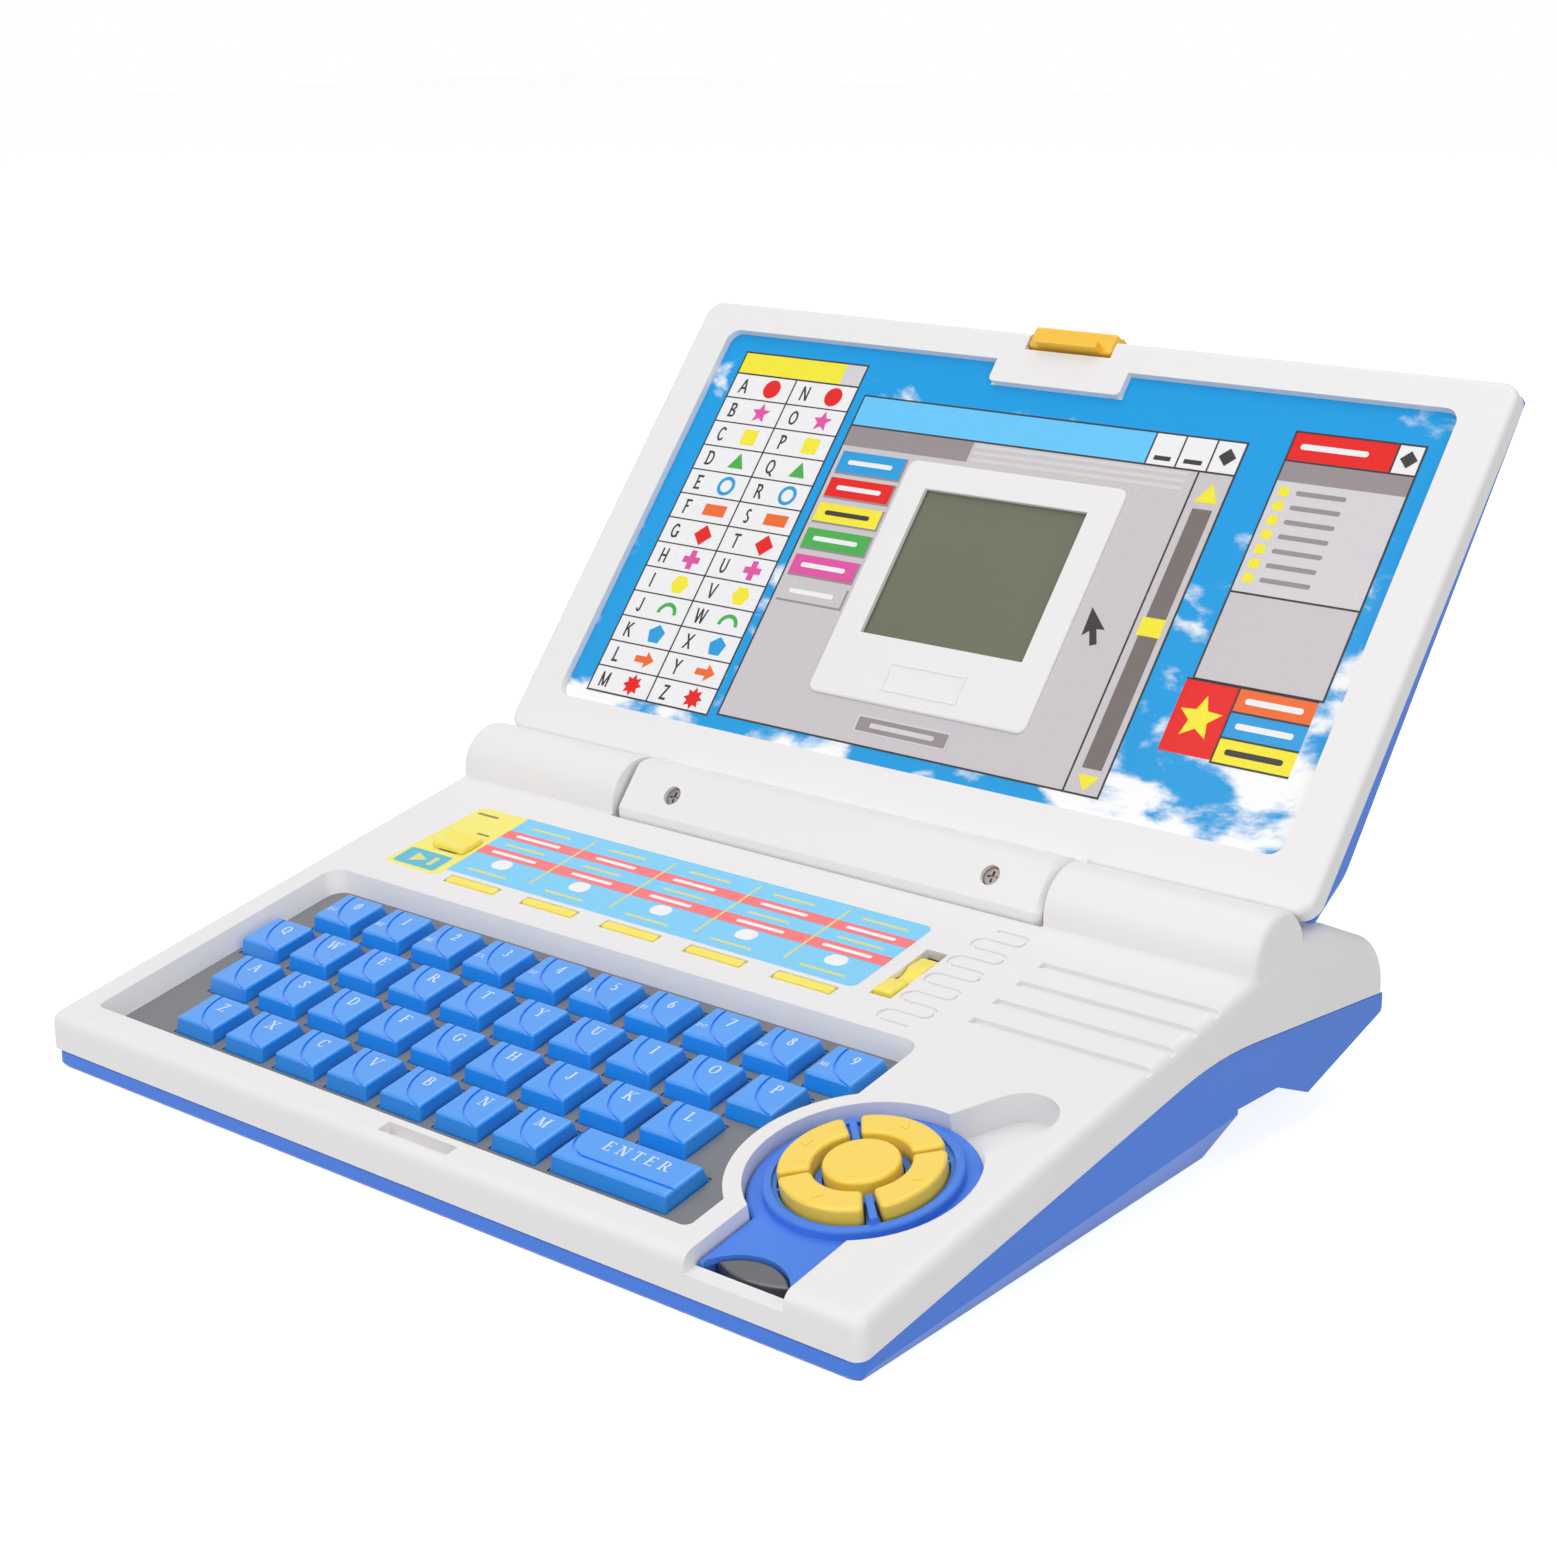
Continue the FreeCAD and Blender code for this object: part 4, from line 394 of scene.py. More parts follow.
# Lettering. Each letter is one unit high and is written as strokes: S and s are a thick and a thin
# upright (x, y0, y1), D and d a thick and a thin slanting line (x0, y0, x1, y1), h a hairline
# (x0, x1, y), f a foot or head serif (x, y), v a small upright tick (x, y0, y1) and
# o part of a ring (cx, cy, rx, ry, first angle, last angle). The number in front is the letter's width.
LETTERS = {
    "A": ".92|d .12 0 .45 1;D .45 1 .80 0;h .25 .66 .35;f .12 0;f .80 0",
    "B": ".78|S .18 0 1;h .05 .45 .975;h .05 .45 .025;h .2 .45 .52;"
         "o .42 .76 .24 .24 -90 90;o .44 .27 .28 .27 -90 90",
    "C": ".84|o .45 .5 .38 .5 40 320;v .76 .68 .98",
    "D": ".86|S .18 0 1;h .05 .42 .975;h .05 .42 .025;o .4 .5 .4 .5 -90 90",
    "E": ".74|S .18 0 1;h .05 .66 .975;h .18 .5 .52;h .05 .66 .025;v .65 .8 1;v .65 0 .2;v .5 .42 .62",
    "F": ".70|S .18 0 1;h .05 .64 .975;h .18 .48 .52;v .63 .8 1;v .48 .42 .62;f .18 0",
    "G": ".92|o .45 .5 .38 .5 40 330;v .76 .68 .98;S .72 .05 .42;h .58 .86 .42",
    "H": ".90|S .2 0 1;S .7 0 1;h .2 .7 .5;f .2 0;f .2 1;f .7 0;f .7 1",
    "I": ".42|S .21 0 1;f .21 0;f .21 1",
    "J": ".56|S .38 .25 1;f .38 1;o .24 .25 .22 .25 180 360",
    "K": ".88|S .2 0 1;f .2 0;f .2 1;d .2 .4 .7 1;D .38 .58 .76 0;f .7 1;f .76 0",
    "L": ".72|S .2 0 1;f .2 1;h .05 .64 .025;v .63 0 .22",
    "M": "1.02|s .15 0 1;D .15 1 .5 .05;d .5 .05 .84 1;S .84 0 1;f .15 0;f .84 0;f .12 1;f .87 1",
    "N": ".90|s .17 0 1;D .17 1 .74 0;s .74 0 1;f .17 0;f .12 1;f .74 1",
    "O": ".90|o .45 .5 .4 .5 0 360",
    "P": ".74|S .2 0 1;f .2 0;h .05 .42 .975;h .2 .42 .47;o .4 .72 .27 .275 -90 90",
    "Q": ".90|o .45 .5 .4 .5 0 360;D .5 .18 .82 -.15",
    "R": ".84|S .2 0 1;f .2 0;h .05 .42 .975;h .2 .42 .47;o .4 .72 .27 .275 -90 90;D .42 .48 .76 0;f .78 0",
    "S": ".64|o .32 .74 .24 .26 30 270;o .32 .27 .26 .27 -150 90;v .54 .7 .95;v .08 .05 .3",
    "T": ".74|S .37 0 1;f .37 0;h .04 .7 .975;v .06 .78 1;v .68 .78 1",
    "U": ".86|S .2 .3 1;s .68 .3 1;f .2 1;f .68 1;o .43 .3 .29 .3 180 360",
    "V": ".88|D .1 1 .44 0;d .44 0 .76 1;f .12 1;f .74 1",
    "W": "1.16|D .1 1 .36 0;d .36 0 .58 1;D .58 1 .82 0;d .82 0 1.06 1;f .12 1;f .58 1;f 1.04 1",
    "X": ".86|D .12 1 .72 0;d .1 0 .74 1;f .14 1;f .72 1;f .12 0;f .72 0",
    "Y": ".82|D .1 1 .4 .48;d .4 .48 .7 1;S .4 0 .5;f .12 1;f .7 1;f .4 0",
    "Z": ".74|h .08 .66 .975;D .6 .97 .1 .03;h .06 .66 .025;v .1 .8 1;v .64 0 .2",
    "0": ".64|o .32 .5 .27 .5 0 360",
    "1": ".50|S .3 0 1;f .3 0;d .12 .82 .3 .98",
    "2": ".62|o .3 .72 .23 .28 -30 190;D .46 .58 .1 .06;h .06 .56 .03;v .54 .03 .2",
    "3": ".60|o .27 .75 .22 .25 -90 150;o .27 .26 .26 .26 -150 90",
    "4": ".66|S .42 0 1;d .42 1 .05 .32;h .05 .6 .3;f .42 0",
    "5": ".60|s .14 .5 1;h .14 .52 .96;o .28 .3 .25 .3 -160 120",
    "6": ".64|o .32 .3 .26 .3 0 360;o .5 .3 .44 .7 100 180",
    "7": ".60|h .06 .56 .96;D .5 .95 .22 0;v .08 .8 .98",
    "8": ".62|o .31 .75 .22 .25 0 360;o .31 .27 .26 .27 0 360",
    "9": ".64|o .32 .7 .26 .3 0 360;o .14 .7 .44 .7 -80 0",
}


def beam(x0, y0, x1, y1, width):
    """A straight stroke whose ends are cut level."""
    if abs(y1 - y0) < 1e-6:
        return bar(min(x0, x1), max(x0, x1), y0 - width / 2, y0 + width / 2)
    half = width / 2 * math.hypot(x1 - x0, y1 - y0) / abs(y1 - y0)
    return [(x0 - half, y0), (x0 + half, y0), (x1 + half, y1), (x1 - half, y1)]


def ring_strokes(cx, cy, rx, ry, first, last, wide, thin):
    """Part of a ring that is wide at its sides and thin at its top and bottom."""
    steps = max(4, round((last - first) / 20))
    edge = []
    for i in range(steps + 1):
        turn = math.radians(first + (last - first) * i / steps)
        c, s = math.cos(turn), math.sin(turn)
        edge.append(((cx + rx * c, cy + ry * s), (cx + (rx - wide) * c, cy + (ry - thin) * s)))
    return [[a[0], b[0], b[1], a[1]] for a, b in zip(edge, edge[1:])]


def letter_shapes(letter, plain):
    """The strokes of a letter as flat shapes, with or without serifs and thin strokes."""
    wide, thin = (0.16, 0.15) if plain else (0.17, 0.075)
    width, strokes = LETTERS[letter].split("|")
    shapes = []
    for stroke in strokes.split(";"):
        kind, *numbers = stroke.split()
        n = [float(text) for text in numbers]
        if kind in "Ss":
            shapes.append(beam(n[0], n[1], n[0], n[2], wide if kind == "S" else thin))
        elif kind in "Dd":
            shapes.append(beam(*n, wide if kind == "D" else thin))
        elif kind == "h":
            level = min(max(n[2], thin / 2), 1 - thin / 2)
            shapes.append(bar(n[0], n[1], level - thin / 2, level + thin / 2))
        elif kind == "o":
            shapes += ring_strokes(*n, wide, thin)
        elif not plain and kind == "f":
            level = min(max(n[1], thin / 2), 1 - thin / 2)
            shapes.append(bar(n[0] - 0.17, n[0] + 0.17, level - thin / 2, level + thin / 2))
        elif not plain and kind == "v":
            shapes.append(bar(n[0] - thin / 2, n[0] + thin / 2, n[1], n[2]))
    return shapes, float(width)


def word_shapes(text, cx, cy, height, gap=0.0, plain=False, squeeze=1.0):
    """A word about its middle, with capitals of the given height."""
    glyphs = [letter_shapes(letter, plain) for letter in text]
    length = sum(width for _, width in glyphs) + gap * (len(text) - 1)
    x = -length / 2
    shapes = []
    for strokes, width in glyphs:
        for shape in strokes:
            shapes.append([
                (cx + (x + px) * height * squeeze, cy + (py - 0.5) * height) for px, py in shape
            ])
        x += width + gap
    return shapes


# Rows of like prints, made with geometry nodes

def row_tree():
    """Geometry nodes that lay a row of flat round-cornered pads on a tilted plane."""
    tree = bpy.data.node_groups.get("Row of pads")
    if tree:
        return tree
    tree = bpy.data.node_groups.new("Row of pads", "GeometryNodeTree")
    kinds = (
        ("Count", "NodeSocketInt"), ("Start", "NodeSocketVector"), ("Step", "NodeSocketVector"),
        ("Width", "NodeSocketFloat"), ("Depth", "NodeSocketFloat"), ("Corner", "NodeSocketFloat"),
        ("Thickness", "NodeSocketFloat"), ("Tilt", "NodeSocketFloat"), ("Origin", "NodeSocketVector"),
        ("Ink", "NodeSocketMaterial"),
    )
    for name, kind in kinds:
        tree.interface.new_socket(name, in_out="INPUT", socket_type=kind)
    tree.interface.new_socket("Geometry", in_out="OUTPUT", socket_type="NodeSocketGeometry")
    given = add(tree, "NodeGroupInput").outputs
    outline = add(tree, "GeometryNodeCurvePrimitiveQuadrilateral", None, {
        "Width": given["Width"], "Height": given["Depth"],
    })
    soft = add(tree, "GeometryNodeFilletCurve", {"mode": "POLY"}, {
        "Curve": outline.outputs["Curve"], "Radius": given["Corner"], "Count": 8,
    })
    face = add(tree, "GeometryNodeFillCurve", None, {"Curve": soft.outputs["Curve"]})
    tall = add(tree, "GeometryNodeExtrudeMesh", None, {
        "Mesh": face.outputs["Mesh"], "Offset Scale": given["Thickness"], "Individual": False,
    })
    under = add(tree, "GeometryNodeFlipFaces", None, {"Mesh": face.outputs["Mesh"]})
    both = add(tree, "GeometryNodeJoinGeometry")
    tree.links.new(tall.outputs["Mesh"], both.inputs["Geometry"])
    tree.links.new(under.outputs["Mesh"], both.inputs["Geometry"])
    closed = add(tree, "GeometryNodeMergeByDistance", None, {
        "Geometry": both.outputs["Geometry"], "Distance": 1e-6,
    })
    line = add(tree, "GeometryNodeMeshLine", {"mode": "OFFSET"}, {
        "Count": given["Count"], "Start Location": given["Start"], "Offset": given["Step"],
    })
    placed = add(tree, "GeometryNodeInstanceOnPoints", None, {
        "Points": line.outputs["Mesh"], "Instance": closed.outputs["Geometry"],
    })
    turn = add(tree, "ShaderNodeCombineXYZ", None, {"X": given["Tilt"]})
    laid = add(tree, "GeometryNodeTransform", None, {
        "Geometry": placed.outputs["Instances"], "Translation": given["Origin"],
        "Rotation": turn.outputs["Vector"],
    })
    real = add(tree, "GeometryNodeRealizeInstances", None, {"Geometry": laid.outputs["Geometry"]})
    inked = add(tree, "GeometryNodeSetMaterial", None, {
        "Geometry": real.outputs["Geometry"], "Material": given["Ink"],
    })
    add(tree, "NodeGroupOutput", None, {"Geometry": inked.outputs["Geometry"]})
    return tree


def row_of_pads(name, body, tree, ink, count, start, step, size, corner, level, plane):
    """A row of pads as one plain mesh; start, step and size in millimetres on the plane."""
    tilt, origin = plane
    holder = bpy.data.objects.new(name, bpy.data.meshes.new(name))
    bpy.context.scene.collection.objects.link(holder)
    modifier = holder.modifiers.new("Row", "NODES")
    modifier.node_group = tree
    low, high = level
    values = {
        "Count": count, "Start": (start[0] * MM, start[1] * MM, low * MM),
        "Step": (step[0] * MM, step[1] * MM, 0.0), "Width": size[0] * MM, "Depth": size[1] * MM,
        "Corner": corner * MM, "Thickness": (high - low) * MM, "Tilt": tilt,
        "Origin": tuple(origin * MM), "Ink": ink,
    }
    for item in tree.interface.items_tree:
        if item.in_out == "INPUT":
            modifier[item.identifier] = values[item.name]
    bpy.context.view_layer.update()
    made = holder.evaluated_get(bpy.context.evaluated_depsgraph_get())
    mesh = bpy.data.meshes.new_from_object(made)
    mesh.name = name
    holder.modifiers.remove(modifier)
    old = holder.data
    holder.data = mesh
    bpy.data.meshes.remove(old)
    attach(holder, body)


DECK_PLANE = (DECK_ANGLE, DECK_FRONT)
LID_PLANE = (math.pi / 2 - LID_LEAN, LID_ORIGIN)


# What a user would change

def colour(label, note, code):
    return bpy.props.FloatVectorProperty(
        name=label, description=note, subtype="COLOR", size=3, min=0.0, max=1.0, default=linear(code)
    )


def length(label, note, value):
    return bpy.props.FloatProperty(
        name=label, description=note, subtype="DISTANCE", unit="LENGTH", default=value * MM
    )


class ToyLaptopColours(bpy.types.PropertyGroup):
    """Colours of the plastics and inks."""

    white_shell: colour("White shell", "Upper case and lid frame", "EFEDED")
    blue_shell: colour("Blue shell", "Lower case, lid back and controller", "4F86E9")
    blue_key: colour("Key blue", "Keys of the keyboard", "2296F8")
    yellow_button: colour("Golden yellow", "Controller buttons", "FFD84A")
    amber_latch: colour("Amber", "Latch of the lid", "F9C52D")
    lemon_button: colour("Lemon yellow", "Activity buttons, slider and rocker", "FFE95A")
    grey_sheet: colour("Key sheet", "Sheet that the keys come through", "77787C")
    legend: colour("Legend", "Letters on the keys", "D5E6FF")
    display: colour("Display", "Unlit display", "72725E")
    lens: colour("Lens", "Smoked lens of the controller", "515259")
    steel: colour("Steel", "Screw heads", "8E8783")
    sky_high: colour("Sky, high", "Card ground at the top", "0A9FE6")
    sky_low: colour("Sky, low", "Card ground at the bottom", "1E9FE2")
    label_blue: colour("Label blue", "Strip above the keyboard", "83D3FC")
    label_red: colour("Label red", "Bands on the strip", "FF7B80")
    label_yellow: colour("Label yellow", "Field round the slider", "FDF07A")


class ToyLaptopSizes(bpy.types.PropertyGroup):
    """Sizes of the prints."""

    letter_height: length("Letter height", "Capitals on the keys", 3.3)
    letter_right: length("Letter to the right", "From the middle of a key", 1.3)
    letter_back: length("Letter to the back", "From the middle of a key", 2.5)
    note_height: length("Small legend height", "Second legend on the number keys", 1.5)
    ink_step: length("Ink step", "Height of one layer of ink above the next", 0.04)
    card_sheet: length("Card thickness", "Printed card in the lid", 0.2)
    label_sheet: length("Label thickness", "Printed label on the deck", 0.08)


class BuilderOperator:
    """What the operators share."""

    bl_options = {"REGISTER"}

    @property
    def colours(self):
        return bpy.context.scene.toy_laptop_colours

    @property
    def sizes(self):
        return bpy.context.scene.toy_laptop_sizes


class TOYLAPTOP_OT_shells(BuilderOperator, bpy.types.Operator):
    """Finish the white and blue shells, the key sheet and what the case holds."""

    bl_idname = "toylaptop.shells"
    bl_label = "Shells"

    def execute(self, context):
        c = self.colours
        white = moulded_plastic("white_abs_satin_moulded", c.white_shell, 0.42, 0.5, 0.02, 0.012)
        dress(white, ["top_case", "lid_front"])
        blue = moulded_plastic("blue_abs_satin_moulded", c.blue_shell, 0.40, 0.5, 0.02, 0.03, 0.0, 0.18)
        dress(blue, ["bottom_case", "lid_back", "mouse_shell"])
        sheet = moulded_plastic("grey_abs_sheet", c.grey_sheet, 0.5, 0.5, 0.02, 0.03)
        dress(sheet, ["key_plate"])
        dress(inner_parts("inner_boards_and_screws", linear("4A4F4A"), c.steel), ["inner_fittings"])
        dress(plated_steel("zinc_plated_steel", c.steel), ["lid_screws"])
        return {"FINISHED"}


class TOYLAPTOP_OT_controls(BuilderOperator, bpy.types.Operator):
    """Finish the yellow buttons, the slider, the rocker and the latch."""

    bl_idname = "toylaptop.controls"
    bl_label = "Buttons and switches"

    def execute(self, context):
        yellow = moulded_plastic(
            "yellow_abs_gloss_moulded", self.colours.yellow_button, 0.30, 0.6, 0.012, 0.03, 0.15
        )
        arrows = [n for n in frame["nodes"] if n.startswith("mouse_arrow")]
        dress(yellow, arrows + ["mouse_ok_button"])
        amber = moulded_plastic(
            "amber_abs_gloss_moulded", self.colours.amber_latch, 0.30, 0.6, 0.012, 0.03, 0.15
        )
        dress(amber, ["lid_latch"])
        lemon = moulded_plastic(
            "lemon_abs_gloss_moulded", self.colours.lemon_button, 0.34, 0.6, 0.012, 0.03, 0.1
        )
        activity = [n for n in frame["nodes"] if n.startswith("activity")]
        dress(lemon, activity + ["mode_slider", "power_rocker"])
        lens = smoked_acrylic("smoked_acrylic", self.colours.lens)
        dress(lens, ["mouse_lens"])
        return {"FINISHED"}


# The keyboard as the CAD model lays it out, in millimetres.
# The rows run from the front, each with its number of row shifts.
KEY_ROWS = (("ZXCVBNM", 2), ("ASDFGHJKL", 1), ("QWERTYUIOP", 0), ("0123456789", 1))
KEY_PITCH = 18.35
ROW_PITCH = 17.5
ROW_SHIFT = 8.2
FIRST_KEY = (-108.7, 22.1)
KEY_TOP = -1.85
ENTER_REACH = 20.3
# Where the prints lie on their keys, and how far they reach above and below the key top
NOTE_SPOT = (-4.4, -1.5)
ENTER_RIGHT = 1.2
ENTER_GAP = 0.45
PRINT_DEPTH = 0.03
NOTES = ("DO", "RE", "MI", "FA", "SO", "LA", "TI", "DO", "RE", "MI")


class TOYLAPTOP_OT_keyboard(BuilderOperator, bpy.types.Operator):
    """Finish the keys and print their letters."""

    bl_idname = "toylaptop.keyboard"
    bl_label = "Keyboard"

    def execute(self, context):
        key = moulded_plastic("blue_abs_gloss_moulded", self.colours.blue_key, 0.30, 0.6, 0.012, 0.03, 0.6)
        dress(key, [n for n in frame["nodes"] if n.startswith("key_") and n != "key_plate"])
        self.ink = printed_ink("pad_print_pale_blue", self.colours.legend, 0.45)
        size = self.sizes.letter_height / MM
        right, back = self.sizes.letter_right / MM, self.sizes.letter_back / MM
        for row, (letters, shift) in enumerate(KEY_ROWS):
            v = FIRST_KEY[1] + row * ROW_PITCH
            for column, letter in enumerate(letters):
                x = FIRST_KEY[0] + column * KEY_PITCH + shift * ROW_SHIFT
                shapes = word_shapes(letter, x + right, v + back, size)
                if letter.isdigit():
                    note = self.sizes.note_height / MM
                    spot = (x + NOTE_SPOT[0], v + NOTE_SPOT[1])
                    shapes += word_shapes(NOTES[int(letter)], *spot, note, 0.1)
                self.print_legend(letter.lower(), shapes)
        letters, shift = KEY_ROWS[0]
        x = FIRST_KEY[0] + len(letters) * KEY_PITCH + shift * ROW_SHIFT + ENTER_REACH / 2
        word = word_shapes("ENTER", x + ENTER_RIGHT, FIRST_KEY[1] + back, size, ENTER_GAP)
        self.print_legend("enter", word)
        return {"FINISHED"}

    def print_legend(self, name, shapes):
        bm = bmesh.new()
        slab(bm, shapes, deck, KEY_TOP - PRINT_DEPTH, KEY_TOP + PRINT_DEPTH)
        finish_piece(bm, f"legend_{name}", f"key_{name}", [self.ink])


class TOYLAPTOP_OT_display(BuilderOperator, bpy.types.Operator):
    """Finish the display."""

    bl_idname = "toylaptop.display"
    bl_label = "Display"

    def execute(self, context):
        dress(display_glass("lcd_film_and_glass", self.colours.display), ["lcd_panel"])
        return {"FINISHED"}


CARD_INKS = {
    "white": "F4F3F5", "grey": "CFC9CC", "dark": "3A3637", "title": "6ACBFF", "trough": "7A706E",
    "yellow": "F9EC3A", "red": "EA1F1A", "orange": "F26F31", "green": "4BB04F", "pink": "E455A5",
    "blue": "2D9FE0", "pale": "D9D5D9", "menu": "9A9094",
}
# The card's places on the lid, in millimetres: x to the right and s up from the lid's lower edge
CARD_FLOOR = -2.2
CARD_SHEET = (-117.1, 117.1, 12.7, 133.5, 3.8)
CARD_WINDOW = (-35.5, 35.5, 29.4, 101.1, 2.7)
CARD_TAB = (-21.4, 21.4, 126.6, 140)
CHART_SIDES = (-109.5, -64.0)
CHART_LOW = 16.3
CHART_HIGH = 120.8
CHART_HEAD = 128.1
CHART_ROWS = 13
CHART_PITCH = (CHART_HIGH - CHART_LOW) / CHART_ROWS
LIST_ROWS = 7
LIST_LOW = 81.9
LIST_PITCH = 4.1
CHART_INKS = ("red", "orange", "blue", "green", "yellow", "pink")


class TOYLAPTOP_OT_card(BuilderOperator, bpy.types.Operator):
    """Print the card behind the lid's window: a sky with panels of letters, shapes and colours."""

    bl_idname = "toylaptop.card"
    bl_label = "Lid card"

    def execute(self, context):
        c = self.colours
        self.bm = bmesh.new()
        self.materials = [printed_sky("printed_sky_under_film", c.sky_high, c.sky_low, linear("FFFFFF"))]
        self.inks = {}
        for name, code in CARD_INKS.items():
            self.inks[name] = len(self.materials)
            self.materials.append(printed_ink(f"card_ink_{name}", linear(code)))
        self.face = CARD_FLOOR + self.sizes.card_sheet / MM
        self.step = self.sizes.ink_step / MM
        self.window = pad(*CARD_WINDOW)
        slab(self.bm, [pad(*CARD_SHEET)], lid, CARD_FLOOR, self.face, 0, [self.window, bar(*CARD_TAB)])
        self.letter_chart()
        self.middle_panel()
        self.side_panel()
        finish_piece(self.bm, "lid_card", "lid", self.materials)
        self.ruled_rows()
        return {"FINISHED"}

    def print_on(self, ink, shapes, layer=1):
        """Print flat shapes on the card, each layer one step above the last."""
        low = self.face - self.step
        slab(self.bm, shapes, lid, low, self.face + layer * self.step, self.inks[ink], [self.window])

    def letter_chart(self):
        """Twenty-six cells, each with a letter and a plain shape."""
        x0, x1 = CHART_SIDES
        low, high, head = CHART_LOW, CHART_HIGH, CHART_HEAD
        self.print_on("white", [bar(x0, x1, low, high)])
        self.print_on("yellow", [bar(x0, x1 - 7.5, high, head)])
        self.print_on("pale", [bar(x1 - 7.5, x1, high, head)])
        self.print_on("dark", frame_lines(x0, x1, low, head, 0.5) + [
            bar((x0 + x1) / 2 - 0.25, (x0 + x1) / 2 + 0.25, low, high), bar(x0, x1, high - 0.25, high + 0.25),
        ], 2)
        by_ink = {}
        letters = []
        for i in range(26):
            column, row = divmod(i, CHART_ROWS)
            x = x0 + column * (x1 - x0) / 2
            y = high - (row + 0.5) * CHART_PITCH
            letters += word_shapes(chr(65 + i), x + 5, y, 4.6, 0, True, 0.8)
            ink = CHART_INKS[(i * 5 + column) % len(CHART_INKS)]
            by_ink.setdefault(ink, []).extend(self.chart_shape(i, x + 15.4, y))
        self.print_on("dark", letters, 2)
        for ink, shapes in by_ink.items():
            self.print_on(ink, shapes, 2)

    def chart_shape(self, number, x, y):
        kinds = (
            lambda: [ngon(x, y, 3.0, 24)],
            lambda: [star(x, y, 3.4)],
            lambda: [bar(x - 2.7, x + 2.7, y - 2.5, y + 2.5)],
            lambda: [ngon(x, y - 0.5, 3.3, 3)],
            lambda: ring_strokes(x, y, 3.1, 3.1, 0, 360, 1.1, 1.1),
            lambda: [bar(x - 4, x + 4, y - 1.8, y + 1.8)],
            lambda: [ngon(x, y, 3.3, 4)],
            lambda: [bar(x - 3, x + 3, y - 1, y + 1), bar(x - 1, x + 1, y - 3, y + 3)],
            lambda: [ngon(x, y, 3.1, 6, 0)],
            lambda: ring_strokes(x, y - 1.4, 3.6, 3.6, 0, 180, 1.2, 1.2),
            lambda: [ngon(x, y, 3.1, 5)],
            lambda: [
                bar(x - 3.4, x + 0.6, y - 1, y + 1),
                [(x + 0.4, y - 2.6), (x + 3.6, y), (x + 0.4, y + 2.6)],
            ],
            lambda: [star(x, y, 3.4, 8, 0.6)],
        )
        return kinds[number % len(kinds)]()

    def middle_panel(self):
        """The grey field round the display, with a title bar, coloured tabs and a sliding scale."""
        x0, x1, low, high = -61.0, 63.5, 17.2, 118.8
        self.print_on("grey", [bar(x0, x1, low, high)])
        self.print_on("title", [bar(x0, 36.2, 109, high)], 2)
        self.print_on("white", [bar(36.2, x1, 109, high)], 2)
        self.print_on("menu", [bar(x0, -18, 102.6, 109)], 2)
        self.print_on("pale", [bar(-17, 50, 107.2 - 2.1 * i, 108.2 - 2.1 * i) for i in range(3)], 2)
        lines = frame_lines(x0, x1, low, high, 0.5) + [bar(x0, x1, 108.75, 109.25)]
        lines += [bar(x, x + 0.5, 109, high) for x in (36, 45.1, 54.5)] + [bar(52.6, 53.1, low, 109)]
        self.print_on("dark", lines, 3)
        self.print_on("dark", [
            bar(38.2, 43.2, 110.6, 111.9), bar(47.2, 52.6, 110.6, 111.9),
            ngon(59.1, 113.9, 2.6, 4),
        ], 3)
        tabs = (("blue", 94.2, 100.8), ("red", 86.5, 92.4), ("yellow", 78.6, 84.3), ("green", 70.3, 76.3),
                ("pink", 62, 68), ("grey", 54.1, 59.7))
        for ink, y0, y1 in tabs:
            self.print_on("menu", [bar(-59.2, -36.4, y0 - 0.6, y1)], 2)
            self.print_on(ink, [bar(-59.2, -37.1, y0, y1)], 3)
            mark = "dark" if ink == "yellow" else "white"
            middle = (y0 + y1) / 2
            self.print_on(mark, [pad(-56, -40.6, middle - 0.7, middle + 0.7, 0.6, 3)], 4)
        self.print_on("trough", [bar(55.4, 61.2, 24.6, 98.5)], 2)
        self.print_on("yellow", [
            bar(54.6, 61.4, 61.8, 67), [(55, 100.4), (61.6, 100.4), (58.3, 106)],
            [(55.2, 22.8), (61.6, 22.8), (58.3, 18.6)],
        ], 3)
        pointer = [(39.2, 67.2), (45.4, 61.6), (43, 61.4), (44.9, 57.4), (43, 56.6), (41.2, 60.6), (39.5, 59)]
        self.print_on("dark", [pointer], 2)
        self.print_on("menu", [bar(-15.6, 14.6, 21, 26)], 2)
        self.print_on("pale", frame_lines(-15.6, 14.6, 21, 26, 0.5) + [pad(-11, 10, 22.8, 24.2, 0.6, 3)], 3)

